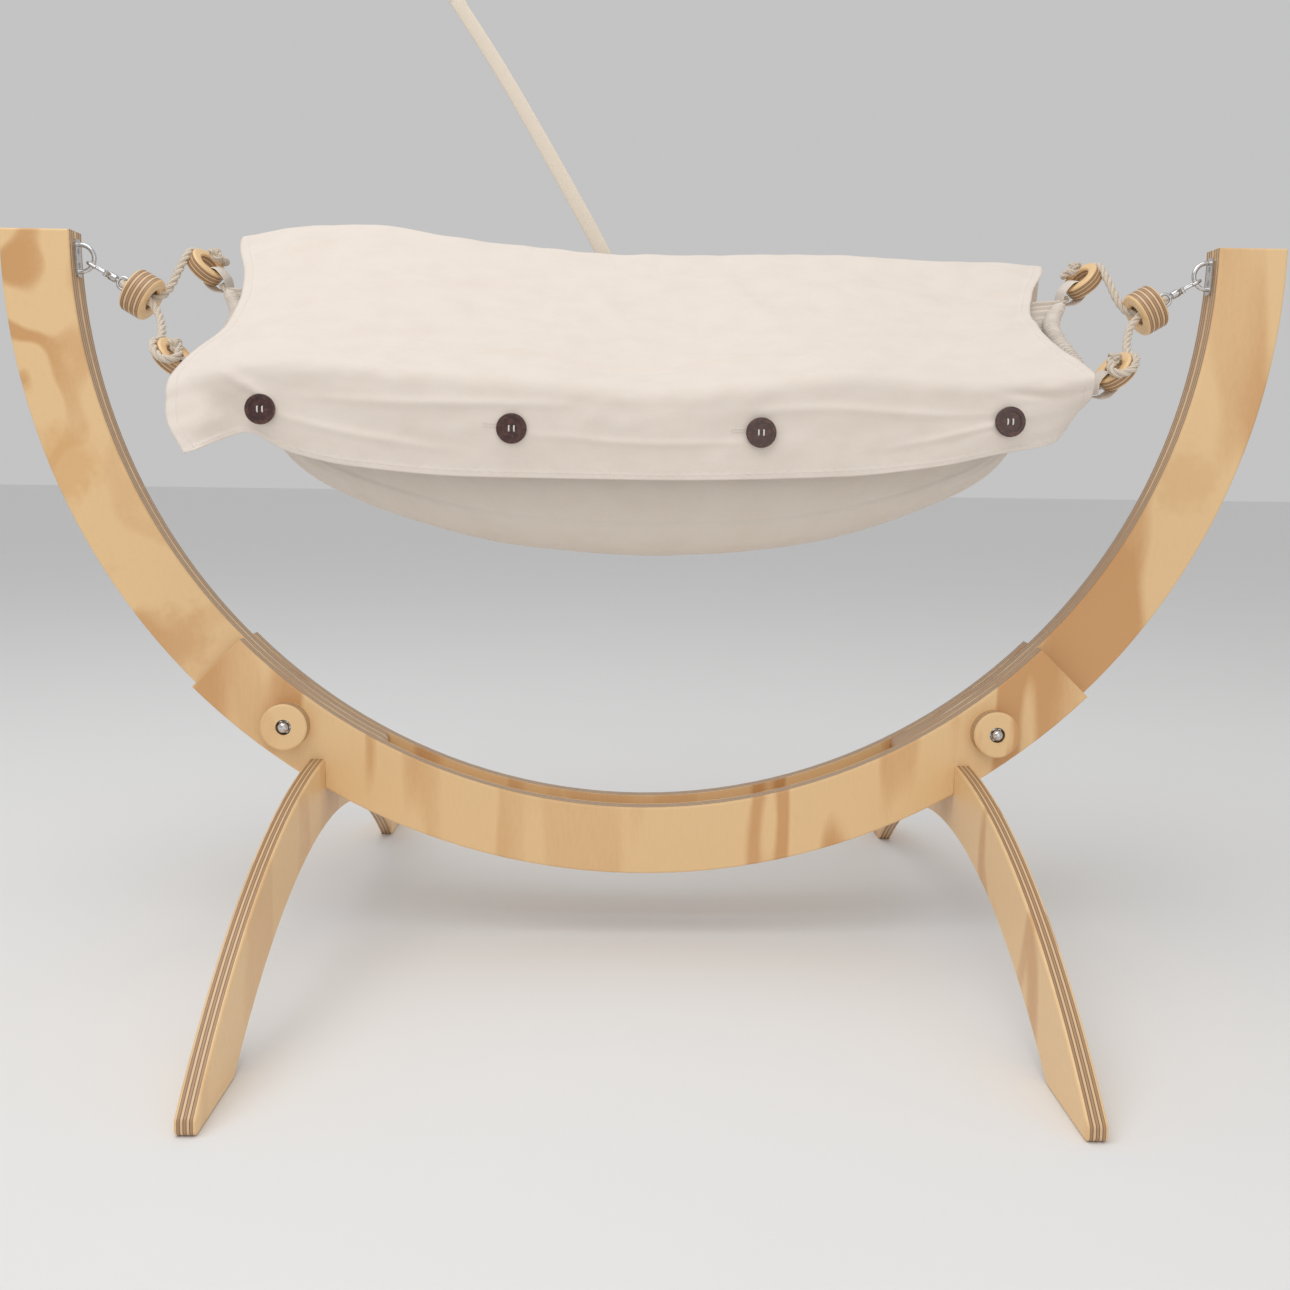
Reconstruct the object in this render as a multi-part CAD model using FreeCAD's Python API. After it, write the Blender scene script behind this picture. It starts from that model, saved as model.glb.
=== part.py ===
import FreeCAD, Part
import math
import os

# Cradle hammock on a knock-down plywood stand.
# Origin: on the floor, under the middle of the stand. +X is the hammock's right-hand end,
# +Y is its back and +Z is up. All lengths are in millimetres.

V = FreeCAD.Vector

# Stand
BOARD = 18.0
STACK_HALF = 2 * BOARD
ARC_R_OUT = 700.0
ARC_R_IN = 625.0
ARC_R_MID = (ARC_R_OUT + ARC_R_IN) / 2
TIP_Z = 775.0
CHEEK_ANGLE = 45.0
ARM_END_ANGLE = 27.0
ARM_END_ROUND = 9.0
ROUND_OVER = 2.5
ROUND_FLATS = 4
LEG_X = 358.0
LEG_CENTRE_Z = -498.0
LEG_TOE_Y = 478.0
LEG_TOE_ROUND = 5.0
SLOT_TOP_Z = 188.0
SLOT_PLAY = 0.2

# Clamps
BOLT_ANGLE = 36.1
BOLT_R = 4.0
BOLT_HOLE_R = 4.3
NUT_HOLE_R = 4.05
HEX_FLATS = 13.0
HEAD_H = 5.3
NUT_HEX_H = 6.5
NUT_DOME_R = 6.3
NUT_H = 15.0
WASHER_R = 8.0
WASHER_T = 1.6
KNOB_R = 25.5
KNOB_T = 18.0
KNOB_ROUND = 2.5
KNOB_RECESS_R = 8.5
KNOB_RECESS_DEPTH = 12.0
KNOB_GAP = 0.3

# Pad eyes on the arms' inner edges
EYE_Z = 746.0
EYE_PLATE = (3.0, 13.0, 41.0)
EYE_BOW_R = 14.5
EYE_BOW_CENTRE = 5.0
EYE_WIRE_R = 2.5
SCREW_PITCH = 15.0
SCREW_R = 1.75
SCREW_HEAD_R = 3.2
SCREW_LENGTH = 22.0

# Snap hooks, along the line of pull
PULL_SLOPE = 30.0
HOOK_WIRE_R = 2.0
HOOK_LOOP_R = 7.5
HOOK_SEAT = EYE_WIRE_R + HOOK_WIRE_R + 0.4
BARREL = (21.0, 30.0, 4.6)
GATE_PIVOT = (19.0, -6.6)
GATE_TIP = (7.4, -7.5)
GATE_R = 1.5
GATE_PIN_R = 0.8
GATE_HOLE_R = 0.85
EAR_T = 1.2
LINK_RING_AT = 38.6
LINK_RING_R = 6.6
LINK_WIRE_R = 1.75
LINK_STEM_R = 1.9

# Turned rings
HANG_RING_AT = 62.0
HANG_RING = (25.0, 11.5, 27.0)
HANG_RING_ROUND = 4.0
CORNER_RING = (22.0, 11.0, 16.0)
CORNER_RING_ROUND = 3.0
CORNER_X = 501.5
CORNER_BACK = (58.0, 747.5)
CORNER_FRONT = (-58.0, 636.0)
CORNER_TILT = 48.0
CORNER_LEAN = 0.3
GROOVE_R = 4.8
ROPE_R = 4.5
ROPE_LAY_R = 23.5
ROPE_SPREAD = 6.5
KNOT_R = 7.5

# Cloth
CASING_R = 9.0
CASING_BORE_R = 5.0
HEM_ROPE_R = 4.5
TAB_T = 2.4
TAB_W = 17.0
SLING_END = 434.0
SLING_T = 3.0
SLING_LOW_Z = 441.0
SLING_RISE = 232.0
SLING_RISE_POWER = 3.3
COVER_T = 2.4
COVER_HALF = 462.0
COVER_BACK = (126.0, 784.0)
COVER_FOLD = (-126.0, 612.0)
COVER_FLAP_Z = 515.0
COVER_BACK_Z = 692.0
BUTTON_X0 = -10.5
BUTTON_PITCH = 253.0
BUTTON_R = 15.5
BUTTON_T = 4.0
BUTTON_Z = 562.0
THREAD_R = 0.8

# Pull strap: the middle of its route, from the back of the sling to its hand loop
STRAP_W = 18.0
STRAP_T = 2.6
STRAP_ROUTE = [
    V(-46, 136, 770),
    V(-52, 139, 786),
    V(-96, 168, 866),
    V(-152, 218, 968),
    V(-205, 266, 1060),
    V(-252, 303, 1134),
]
STRAP_FACING = V(0.25, 1, 0.15)
LOOP_LENGTH = 92.0
LOOP_HALF = 27.0


def save(name, shape):
    """Write one named sub-part."""
    shape.exportStep("parts/" + name + ".step")
    print(name, len(shape.Solids), "solid(s)", round(shape.Volume), "mm3", shape.isValid())


def arc_point(angle, radius, y=0.0):
    """A point on the stand's arc, with the angle in degrees from straight down."""
    a = math.radians(angle)
    return V(radius * math.sin(a), y, TIP_Z - radius * math.cos(a))


def edges_in_plane(shape, axis, value):
    """The edges that lie in one plane across X, Y or Z."""
    low = axis + "Min"
    high = axis + "Max"
    found = []
    for edge in shape.Edges:
        box = edge.BoundBox
        if abs(getattr(box, low) - value) < 0.01 and abs(getattr(box, high) - value) < 0.01:
            found.append(edge)
    return found


def rounding():
    """Steps of a routed edge as (in from the edge, down from the face), from the face to the edge."""
    steps = []
    for i in range(ROUND_FLATS + 1):
        a = math.radians(90.0 * i / ROUND_FLATS)
        steps.append((ROUND_OVER * (1 - math.sin(a)), ROUND_OVER * (1 - math.cos(a))))
    return steps


def arc_board(a0, a1, face_y, back_y):
    """A board swept along the arc between two angles, with the edges of its face rounded."""
    inward = 1 if back_y > face_y else -1
    outline = [V(ARC_R_OUT - into, face_y + inward * down, TIP_Z) for into, down in rounding()]
    outline += [V(ARC_R_OUT, back_y, TIP_Z), V(ARC_R_IN, back_y, TIP_Z)]
    outline += [V(ARC_R_IN + into, face_y + inward * down, TIP_Z) for into, down in reversed(rounding())]
    section = Part.Face(Part.makePolygon(outline + outline[:1]))
    section.rotate(V(0, 0, TIP_Z), V(0, 1, 0), 90 - a0)
    return section.revolve(V(0, 0, TIP_Z), V(0, 1, 0), a0 - a1)


def end_rounding(angle, turn, face_y, back_y):
    """The sliver routed off a board's end; turn is 1 if the board goes on to larger angles, or -1."""
    inward = 1 if back_y > face_y else -1
    a = math.radians(angle)
    along = V(turn * math.cos(a), 0, turn * math.sin(a))
    start = arc_point(angle, ARC_R_IN - 1)
    corners = [(-1.0, -1.0), (ROUND_OVER, -1.0)] + rounding() + [(-1.0, ROUND_OVER)]
    outline = [start + along * into + V(0, face_y + inward * down, 0) for into, down in corners]
    sliver = Part.Face(Part.makePolygon(outline + outline[:1]))
    return sliver.extrude(arc_point(angle, ARC_R_OUT + 1) - start)


def corner_sliver(radius, y0, y1):
    """What is rounded off one corner of an arm's lower end, at the outer or the inner radius."""
    inside = -1 if radius == ARC_R_OUT else 1
    turned = ARM_END_ANGLE + math.degrees(ARM_END_ROUND / radius)
    before = ARM_END_ANGLE - 0.2
    on_end = arc_point(ARM_END_ANGLE, radius + inside * ARM_END_ROUND, y0)
    on_arc = arc_point(turned, radius, y0)
    centre = arc_point(turned, radius + inside * ARM_END_ROUND, y0)
    to_corner = (arc_point(ARM_END_ANGLE, radius, y0) - centre).normalize()
    rounded = Part.Arc(on_end, centre + to_corner * ARM_END_ROUND, on_arc).toShape()
    outside = [
        on_arc,
        arc_point(turned, radius - inside, y0),
        arc_point(before, radius - inside, y0),
        arc_point(before, radius + inside * ARM_END_ROUND, y0),
        on_end,
    ]
    rest = Part.makePolygon(outside)
    return Part.Face(Part.Wire([rounded] + rest.Edges)).extrude(V(0, y1 - y0, 0))


def rod_y(x, z, radius, y0, y1):
    """A round rod along Y."""
    return Part.makeCylinder(radius, y1 - y0, V(x, y0, z), V(0, 1, 0))


def leg_slot(side):
    """The slot that a leg slides up into."""
    half = BOARD / 2 + SLOT_PLAY
    corner = V(side * LEG_X - half, -60, SLOT_TOP_Z - 60)
    return Part.makeBox(2 * half, 120, 60, corner)


def bolt_place(side):
    """X and Z of a clamp bolt."""
    point = arc_point(BOLT_ANGLE, ARC_R_MID)
    return side * point.x, point.z


def cheek(back):
    """One of the two single boards of the centre section."""
    face_y = STACK_HALF if back else -STACK_HALF
    back_y = BOARD if back else -BOARD
    board = arc_board(-CHEEK_ANGLE, CHEEK_ANGLE, face_y, back_y)
    for side in (-1, 1):
        x, z = bolt_place(side)
        board = board.cut(end_rounding(side * CHEEK_ANGLE, -side, face_y, back_y))
        board = board.cut(leg_slot(side))
        board = board.cut(rod_y(x, z, BOLT_HOLE_R, -STACK_HALF - 1, STACK_HALF + 1))
    return board


def arm_board(side, back):
    """One of the two boards that are glued up into an arm."""
    face_y = BOARD if back else -BOARD
    low_y = min(face_y, 0.0)
    board = arc_board(ARM_END_ANGLE, 90.0, face_y, 0.0)
    board = board.cut(end_rounding(ARM_END_ANGLE, 1, face_y, 0.0))
    board = board.cut(end_rounding(90.0, -1, face_y, 0.0))
    for radius in (ARC_R_OUT, ARC_R_IN):
        board = board.cut(corner_sliver(radius, low_y - 1, low_y + BOARD + 1))
    if side < 0:
        board = board.mirror(V(0, 0, 0), V(1, 0, 0))
    x, z = bolt_place(side)
    board = board.cut(leg_slot(side))
    return board.cut(rod_y(x, z, BOLT_HOLE_R, -BOARD - 1, BOARD + 1))


def leg(side):
    """An arched leg, cut from the same ring as the arc, notched for the arc at its top."""
    x0 = side * LEG_X - BOARD / 2
    outer = Part.makeCylinder(ARC_R_OUT, BOARD, V(x0, 0, LEG_CENTRE_Z), V(1, 0, 0))
    inner = Part.makeCylinder(ARC_R_IN, BOARD + 2, V(x0 - 1, 0, LEG_CENTRE_Z), V(1, 0, 0))
    trim = Part.makeBox(BOARD, 2 * LEG_TOE_Y, 400, V(x0, -LEG_TOE_Y, 0))
    board = outer.cut(inner).common(trim)
    toes = []
    for edge in board.Edges:
        box = edge.BoundBox
        if abs(abs(box.YMin) - LEG_TOE_Y) < 0.01 and box.XLength > BOARD - 0.1 and box.YLength < 0.01:
            toes.append(edge)
    board = board.makeFillet(LEG_TOE_ROUND, toes)
    sides = edges_in_plane(board, "X", x0) + edges_in_plane(board, "X", x0 + BOARD)
    board = board.makeFillet(ROUND_OVER, sides)
    half = STACK_HALF + SLOT_PLAY
    notch = Part.makeBox(BOARD + 4, 2 * half, 60, V(x0 - 2, -half, SLOT_TOP_Z - SLOT_PLAY))
    return board.cut(notch)


def hexagon(x, y, z, height):
    """A hexagonal prism along +Y."""
    radius = HEX_FLATS / math.sqrt(3)
    corners = []
    for i in range(7):
        a = math.radians(60 * i)
        corners.append(V(x + radius * math.cos(a), y, z + radius * math.sin(a)))
    return Part.Face(Part.makePolygon(corners)).extrude(V(0, height, 0))


def wooden_disc(x, z, y_board, outward):
    """A clamp disc with a round-over on its outer rim and a recess for the nut or the head."""
    y_face = y_board + outward * KNOB_T
    low = min(y_board, y_face)
    disc = rod_y(x, z, KNOB_R, low, low + KNOB_T)
    disc = disc.makeFillet(KNOB_ROUND, edges_in_plane(disc, "Y", y_face))
    disc = disc.cut(rod_y(x, z, BOLT_HOLE_R, low - 1, low + KNOB_T + 1))
    floor_y = y_face - outward * KNOB_RECESS_DEPTH
    low = min(floor_y, y_face)
    return disc.cut(rod_y(x, z, KNOB_RECESS_R, low, low + KNOB_RECESS_DEPTH))


def front_floor_y():
    """Y of the floor of a front knob's recess."""
    return -STACK_HALF - KNOB_GAP - KNOB_T + KNOB_RECESS_DEPTH


def back_floor_y():
    """Y of the floor of a rear disc's recess."""
    return STACK_HALF + KNOB_T - KNOB_RECESS_DEPTH


def washer(x, z, y0):
    """A plain washer whose low face is at y0."""
    ring = rod_y(x, z, WASHER_R, y0, y0 + WASHER_T)
    return ring.cut(rod_y(x, z, BOLT_HOLE_R, y0 - 1, y0 + WASHER_T + 1))


def dome_nut(side):
    """The dome nut in a front knob, its dome facing forwards."""
    x, z = bolt_place(side)
    y_seat = front_floor_y() - WASHER_T
    nut = hexagon(x, y_seat - NUT_HEX_H, z, NUT_HEX_H)
    y_top = y_seat - NUT_H
    nut = nut.fuse(rod_y(x, z, NUT_DOME_R, y_top + NUT_DOME_R, y_seat))
    nut = nut.fuse(Part.makeSphere(NUT_DOME_R, V(x, y_top + NUT_DOME_R, z)))
    return nut.cut(rod_y(x, z, NUT_HOLE_R, y_seat - 10.5, y_seat + 1))


def clamp_bolt(side):
    """The bolt through the whole stack, its head in the rear disc."""
    x, z = bolt_place(side)
    y_head = back_floor_y() + WASHER_T
    y_end = front_floor_y() - WASHER_T - 9.0
    return rod_y(x, z, BOLT_R, y_end, y_head).fuse(hexagon(x, y_head, z, HEAD_H))


def path_wire(points, radii):
    """Straight runs joined by tangent arcs."""
    edges = []
    last = points[0]
    for i in range(1, len(points) - 1):
        corner = points[i]
        to_last = (points[i - 1] - corner).normalize()
        to_next = (points[i + 1] - corner).normalize()
        half_turn = (math.pi - to_last.getAngle(to_next)) / 2
        reach = radii[i - 1] * math.tan(half_turn)
        start = corner + to_last * reach
        finish = corner + to_next * reach
        inward = (to_last + to_next).normalize()
        middle = corner + inward * (radii[i - 1] / math.cos(half_turn) - radii[i - 1])
        if start.distanceToPoint(last) > 1e-6:
            edges.append(Part.LineSegment(last, start).toShape())
        edges.append(Part.Arc(start, middle, finish).toShape())
        last = finish
    if last.distanceToPoint(points[-1]) > 1e-6:
        edges.append(Part.LineSegment(last, points[-1]).toShape())
    return Part.Wire(edges)


def full_radii(points, cap=1e6):
    """The largest arc radii that the runs allow, up to a cap."""
    radii = []
    for i in range(1, len(points) - 1):
        back = points[i - 1] - points[i]
        ahead = points[i + 1] - points[i]
        half_turn = (math.pi - back.getAngle(ahead)) / 2
        radii.append(min(cap, 0.45 * min(back.Length, ahead.Length) / math.tan(half_turn)))
    return radii


def tube(points, radii, radius):
    """A round tube along straight runs and tangent arcs."""
    wire = path_wire(points, radii)
    direction = points[1] - points[0]
    section = Part.Wire(Part.makeCircle(radius, points[0], direction))
    return wire.makePipeShell([section], True, False)


def mirrored(shape, side):
    """Everything on an end is drawn for the left, and mirrored for the right."""
    if side < 0:
        return shape
    return shape.mirror(V(0, 0, 0), V(1, 0, 0))


def eye_frame():
    """Place of the left pad eye: on the arm's inner edge, with its first axis out of the edge."""
    rise = math.asin((TIP_Z - EYE_Z) / ARC_R_IN)
    place = V(-ARC_R_IN * math.cos(rise), 0, EYE_Z)
    out = V(math.cos(rise), 0, math.sin(rise))
    up = V(-math.sin(rise), 0, math.cos(rise))
    return place, out, up


def pull_axis():
    """Unit vector down the left suspension line, from the pad eye."""
    a = math.radians(PULL_SLOPE)
    return V(math.cos(a), 0, -math.sin(a))


def hang_point():
    """The left point where hook and pad eye bear on each other, on the swing axis."""
    place, out, _ = eye_frame()
    return place + out * EYE_BOW_CENTRE + pull_axis() * EYE_BOW_R


def pad_eye():
    """Oblong plate with a half-round bow."""
    place, out, up = eye_frame()
    depth, width, height = EYE_PLATE
    clear = 0.35
    plate = Part.makeBox(depth - clear, width, height, V(clear, -width / 2, -height / 2))
    plate = plate.makeFillet(5.0, [e for e in plate.Edges if e.BoundBox.XLength > 2 and e.BoundBox.YLength < 0.01])
    bow_points = [V(1, 0, -EYE_BOW_R), V(EYE_BOW_CENTRE + EYE_BOW_R, 0, -EYE_BOW_R),
                  V(EYE_BOW_CENTRE + EYE_BOW_R, 0, EYE_BOW_R), V(1, 0, EYE_BOW_R)]
    bow = tube(bow_points, [EYE_BOW_R] * 2, EYE_WIRE_R)
    eye = plate.fuse(bow)
    for at in (-SCREW_PITCH / 2, SCREW_PITCH / 2):
        eye = eye.cut(Part.makeCylinder(SCREW_R + 0.2, 10, V(-2, 0, at), V(1, 0, 0)))
        eye = eye.cut(Part.makeCone(SCREW_R + 0.2, SCREW_HEAD_R + 0.2, 1.5, V(depth - 1.5, 0, at), V(1, 0, 0)))
    return to_eye(eye)


def to_eye(shape):
    """Move a shape from the pad eye's own frame to the left arm's edge."""
    place, out, up = eye_frame()
    angle = math.degrees(math.atan2(out.z, out.x))
    shape.rotate(V(0, 0, 0), V(0, 1, 0), -angle)
    shape.translate(place)
    return shape


def eye_screws():
    """Two countersunk wood screws through the left pad eye."""
    depth = EYE_PLATE[0]
    screws = []
    for at in (-SCREW_PITCH / 2, SCREW_PITCH / 2):
        shank = Part.makeCylinder(SCREW_R, SCREW_LENGTH, V(depth - SCREW_LENGTH, 0, at), V(1, 0, 0))
        head = Part.makeCone(SCREW_R, SCREW_HEAD_R, 1.5, V(depth - 1.5, 0, at), V(1, 0, 0))
        slot = Part.makeBox(1, 0.9, 2 * SCREW_HEAD_R, V(depth - 0.7, -0.45, at - SCREW_HEAD_R))
        screws.append(shank.fuse(head).cut(slot))
    return screws


def screw_pilots():
    """The holes that the screws fill in the arm's boards."""
    pilots = []
    for at in (-SCREW_PITCH / 2, SCREW_PITCH / 2):
        pilots.append(Part.makeCylinder(SCREW_R, SCREW_LENGTH + 2, V(-SCREW_LENGTH, 0, at), V(1, 0, 0)))
    return to_eye(Part.makeCompound(pilots))


def along(u, y=0.0, n=0.0):
    """A point in the left hook's frame: down the pull, along Y, and square to both."""
    pull = pull_axis()
    square = V(-pull.z, 0, pull.x)
    return hang_point() + pull * u + V(0, y, 0) + square * n


def hook_body():
    """Snap hook: a bent wire nose, a barrel for the swivel, and two ears for the gate."""
    pull = pull_axis()
    apex = -HOOK_SEAT
    r = HOOK_LOOP_R
    nose = [along(BARREL[0] + 2, 0), along(BARREL[0] - 5, r), along(apex, r), along(apex, -r), along(7.0, -r)]
    body = tube(nose, [8.0, r, r], HOOK_WIRE_R)
    barrel = Part.makeCylinder(BARREL[2], BARREL[1] - BARREL[0], along(BARREL[0]), pull)
    barrel = barrel.makeFillet(1.2, [e for e in barrel.Edges if len(e.Vertexes) == 1])
    body = body.fuse(barrel)
    square = along(0, 0, 1) - along(0)
    ear_in = GATE_R + 0.25
    for n in (ear_in, -ear_in - EAR_T):
        ear = Part.makeCylinder(2.4, EAR_T, along(GATE_PIVOT[0], GATE_PIVOT[1], n), square)
        corners = [along(GATE_PIVOT[0] - 2, GATE_PIVOT[1], n), along(GATE_PIVOT[0] + 1.5, GATE_PIVOT[1] - 1.9, n),
                   along(BARREL[0] + 4, -3, n), along(BARREL[0] + 4, 2, n), along(GATE_PIVOT[0] - 1, 2.5, n)]
        web = Part.Face(Part.makePolygon(corners + corners[:1])).extrude(square * EAR_T)
        body = body.fuse(ear.fuse(web))
    pin = Part.makeCylinder(GATE_PIN_R, 12, along(GATE_PIVOT[0], GATE_PIVOT[1], -6), square)
    stem = Part.makeCylinder(LINK_STEM_R + 0.1, 6, along(BARREL[1] - 5), pull)
    cavity = Part.makeCylinder(3.2, 4.0, along(BARREL[1] - 6), pull)
    return body.cut(pin).cut(stem).cut(cavity)


def hook_gate():
    """The gate, from its pivot to the nose."""
    square = along(0, 0, 1) - along(0)
    pivot = along(*GATE_PIVOT)
    tip = along(*GATE_TIP)
    gate = Part.makeCylinder(GATE_R, (tip - pivot).Length - 0.3, pivot, tip - pivot)
    eye = Part.makeCylinder(2.2, 2 * GATE_R, along(GATE_PIVOT[0], GATE_PIVOT[1], -GATE_R), square)
    hole = Part.makeCylinder(GATE_HOLE_R, 12, along(GATE_PIVOT[0], GATE_PIVOT[1], -6), square)
    return gate.fuse(eye).cut(hole)


def gate_pin():
    """The rivet that the gate turns on."""
    square = along(0, 0, 1) - along(0)
    half = GATE_R + 0.25 + EAR_T
    pin = Part.makeCylinder(GATE_PIN_R, 2 * half, along(GATE_PIVOT[0], GATE_PIVOT[1], -half), square)
    for n in (half, -half - 0.6):
        pin = pin.fuse(Part.makeCylinder(1.5, 0.6, along(GATE_PIVOT[0], GATE_PIVOT[1], n), square))
    return pin


def swivel_link():
    """The eye that turns in the hook's barrel and takes the rope."""
    pull = pull_axis()
    ring = Part.makeTorus(LINK_RING_R, LINK_WIRE_R, along(LINK_RING_AT), V(0, 1, 0))
    start = BARREL[1] - 5.2
    stem = Part.makeCylinder(LINK_STEM_R, LINK_RING_AT - LINK_RING_R - start, along(start), pull)
    head = Part.makeCylinder(2.9, 2.6, along(start), pull)
    return ring.fuse(stem).fuse(head)


def turned_ring(centre, axis, size, rounding):
    """A ring turned from glued-up board."""
    outer_r, bore_r, thick = size
    start = centre - axis * (thick / 2)
    ring = Part.makeCylinder(outer_r, thick, start, axis).cut(Part.makeCylinder(bore_r, thick, start, axis))
    rims = [e for e in ring.Edges if len(e.Vertexes) == 1]
    return ring.makeFillet(rounding, rims)


def hang_ring():
    """The thick ring that gathers both ropes below the hook."""
    return turned_ring(along(HANG_RING_AT), pull_axis(), HANG_RING, HANG_RING_ROUND)


def corner_frame(place):
    """Centre and axes of a left corner ring: towards its rope, along its rim, and out of its face."""
    t = math.radians(CORNER_TILT)
    rope_way = V(-math.cos(t), 0, math.sin(t))
    facing = V(math.sin(t), 0, math.cos(t)) * math.sqrt(1 - CORNER_LEAN ** 2) + V(0, -CORNER_LEAN, 0)
    return V(-CORNER_X, place[0], place[1]), rope_way, facing.cross(rope_way), facing


def corner_ring(place):
    """A thin ring, grooved round its rim for the rope."""
    centre, _, _, facing = corner_frame(place)
    ring = turned_ring(centre, facing, CORNER_RING, CORNER_RING_ROUND)
    return ring.cut(Part.makeTorus(ROPE_LAY_R, GROOVE_R, centre, facing))


def rim_point(place, angle, radius, height=0.0):
    """A point by a corner ring, with the angle from the rim's front towards the rope's side."""
    centre, rope_way, rim_way, facing = corner_frame(place)
    a = math.radians(angle)
    return centre + rim_way * (radius * math.cos(a)) + rope_way * (radius * math.sin(a)) + facing * height


def rope_end(place, near_side):
    """Points from the hanging ring to a corner ring, round its rim and on to its face."""
    if near_side:
        turns = (118, 68, 18)
        over = (-18, -36, 30)
    else:
        turns = (52, 102, 152)
        over = (188, 206, 150)
    spread = ROPE_LAY_R / math.cos(math.radians(25))
    points = [rim_point(place, angle, spread) for angle in turns]
    points.append(rim_point(place, over[0], ROPE_LAY_R + 4.5, 9.0))
    points.append(rim_point(place, over[1], ROPE_LAY_R - 8, 16.5))
    points.append(rim_point(place, over[2], 8.0, 15.5))
    return points


def suspension_rope():
    """One rope: knot, rim, through the hanging ring and the hook's eye, and back to the other ring."""
    turn_at = LINK_RING_AT + LINK_RING_R
    mouth = HANG_RING_AT + HANG_RING[2] / 2 + 8.0
    back = rope_end(CORNER_BACK, False)
    front = rope_end(CORNER_FRONT, True)
    middle = [along(mouth, ROPE_SPREAD), along(turn_at - ROPE_SPREAD, ROPE_SPREAD),
              along(turn_at - ROPE_SPREAD, -ROPE_SPREAD), along(mouth, -ROPE_SPREAD)]
    points = back[::-1] + middle + front
    radii = full_radii(points, ROPE_LAY_R)
    first = len(back) - 1
    radii[first + 1] = ROPE_SPREAD
    radii[first + 2] = ROPE_SPREAD
    rope = tube(points, radii, ROPE_R)
    knots = [Part.makeSphere(KNOT_R, points[0], points[1] - points[0]),
             Part.makeSphere(KNOT_R, points[-1], points[-2] - points[-1])]
    return rope.fuse(knots)


def tab(place):
    """The cloth tab that loops through a corner ring, on the sling's side of it."""
    centre, rope_way, rim_way, facing = corner_frame(place)
    ring_r = CORNER_RING[0]
    half_t = CORNER_RING[2] / 2
    low = -ring_r - 0.6
    high = -6.0
    gap = 0.4
    outer = block(centre, rope_way, rim_way, facing, (low - TAB_T, high + TAB_T), TAB_W / 2, half_t + gap + TAB_T)
    inner = block(centre, rope_way, rim_way, facing, (low, high), TAB_W, half_t + gap)
    return outer.cut(inner)


def block(centre, first, second, third, first_span, second_half, third_half):
    """A box along three given axes."""
    corners = []
    for s2, s3 in ((-1, -1), (1, -1), (1, 1), (-1, 1)):
        corners.append(centre + first * first_span[0] + second * (s2 * second_half) + third * (s3 * third_half))
    face = Part.Face(Part.makePolygon(corners + corners[:1]))
    return face.extrude(first * (first_span[1] - first_span[0]))


def hem_points():
    """The left end hem, from the back corner ring round to the front one."""
    back = rim_point(CORNER_BACK, -90, CORNER_RING[0] + 4.5)
    front = rim_point(CORNER_FRONT, -90, CORNER_RING[0] + 4.5)
    return [back, V(-466, 42, 708), V(-452, 14, 690), V(-451, -14, 671), V(-464, -42, 645), front]


def end_casing():
    """The gathered end hem: a hollow casing round the hem rope."""
    points = hem_points()
    outer = tube(points, full_radii(points), CASING_R)
    return clear_of_rings(outer.cut(tube(points, full_radii(points), CASING_BORE_R)))


def clear_of_rings(cloth):
    """Trim the hem where it presses against the corner rings and their tabs."""
    for place in (CORNER_BACK, CORNER_FRONT):
        cloth = cloth.cut(corner_ring(place)).cut(tab(place))
    return max(cloth.Solids, key=lambda solid: solid.Volume)


def hem_rope():
    """The rope inside the end hem."""
    points = hem_points()
    return clear_of_rings(tube(points, full_radii(points), HEM_ROPE_R))


def sling_section(x, inset, lift):
    """One closed section of the sling: its U and a straight line across its top."""
    k = min(1.0, abs(x) / SLING_END)
    ease = k ** 3
    back = V(x, 116 - 62 * ease, 766 - 44 * ease)
    front = V(x, -116 + 62 * ease, 598 + 44 * ease)
    middle = (back + front) / 2
    low_z = SLING_LOW_Z + 12 + SLING_RISE * k ** SLING_RISE_POWER
    depth = max(14.0, middle.z - low_z)
    curve = []
    for i in range(9):
        t = 1 - i / 4
        across = math.copysign(abs(t) ** 0.85, t)
        place = middle + (back - middle) * across
        place.z -= depth * (1 - abs(t) ** 2.8)
        curve.append(place)
    inner = []
    for point in curve:
        to_middle = (middle + V(0, 0, -depth * 0.35)) - point
        inner.append(point + to_middle.normalize() * inset)
    if inset > 0:
        inner[0] = inner[0] + V(0, 0, lift)
        inner[-1] = inner[-1] + V(0, 0, lift)
    spline = Part.BSplineCurve()
    spline.interpolate(inner)
    top = Part.LineSegment(inner[-1], inner[0])
    return Part.Wire([spline.toShape(), top.toShape()])


def sling():
    """The sling's cloth as an open boat-shaped shell."""
    stations = [-1.0, -0.93, -0.8, -0.6, -0.3, 0.0, 0.3, 0.6, 0.8, 0.93, 1.0]
    outer = Part.makeLoft([sling_section(s * SLING_END, 0, 0) for s in stations], True, False)
    inner = Part.makeLoft([sling_section(s * (SLING_END + 1), SLING_T, 14) for s in stations], True, False)
    return outer.cut(inner)


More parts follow.
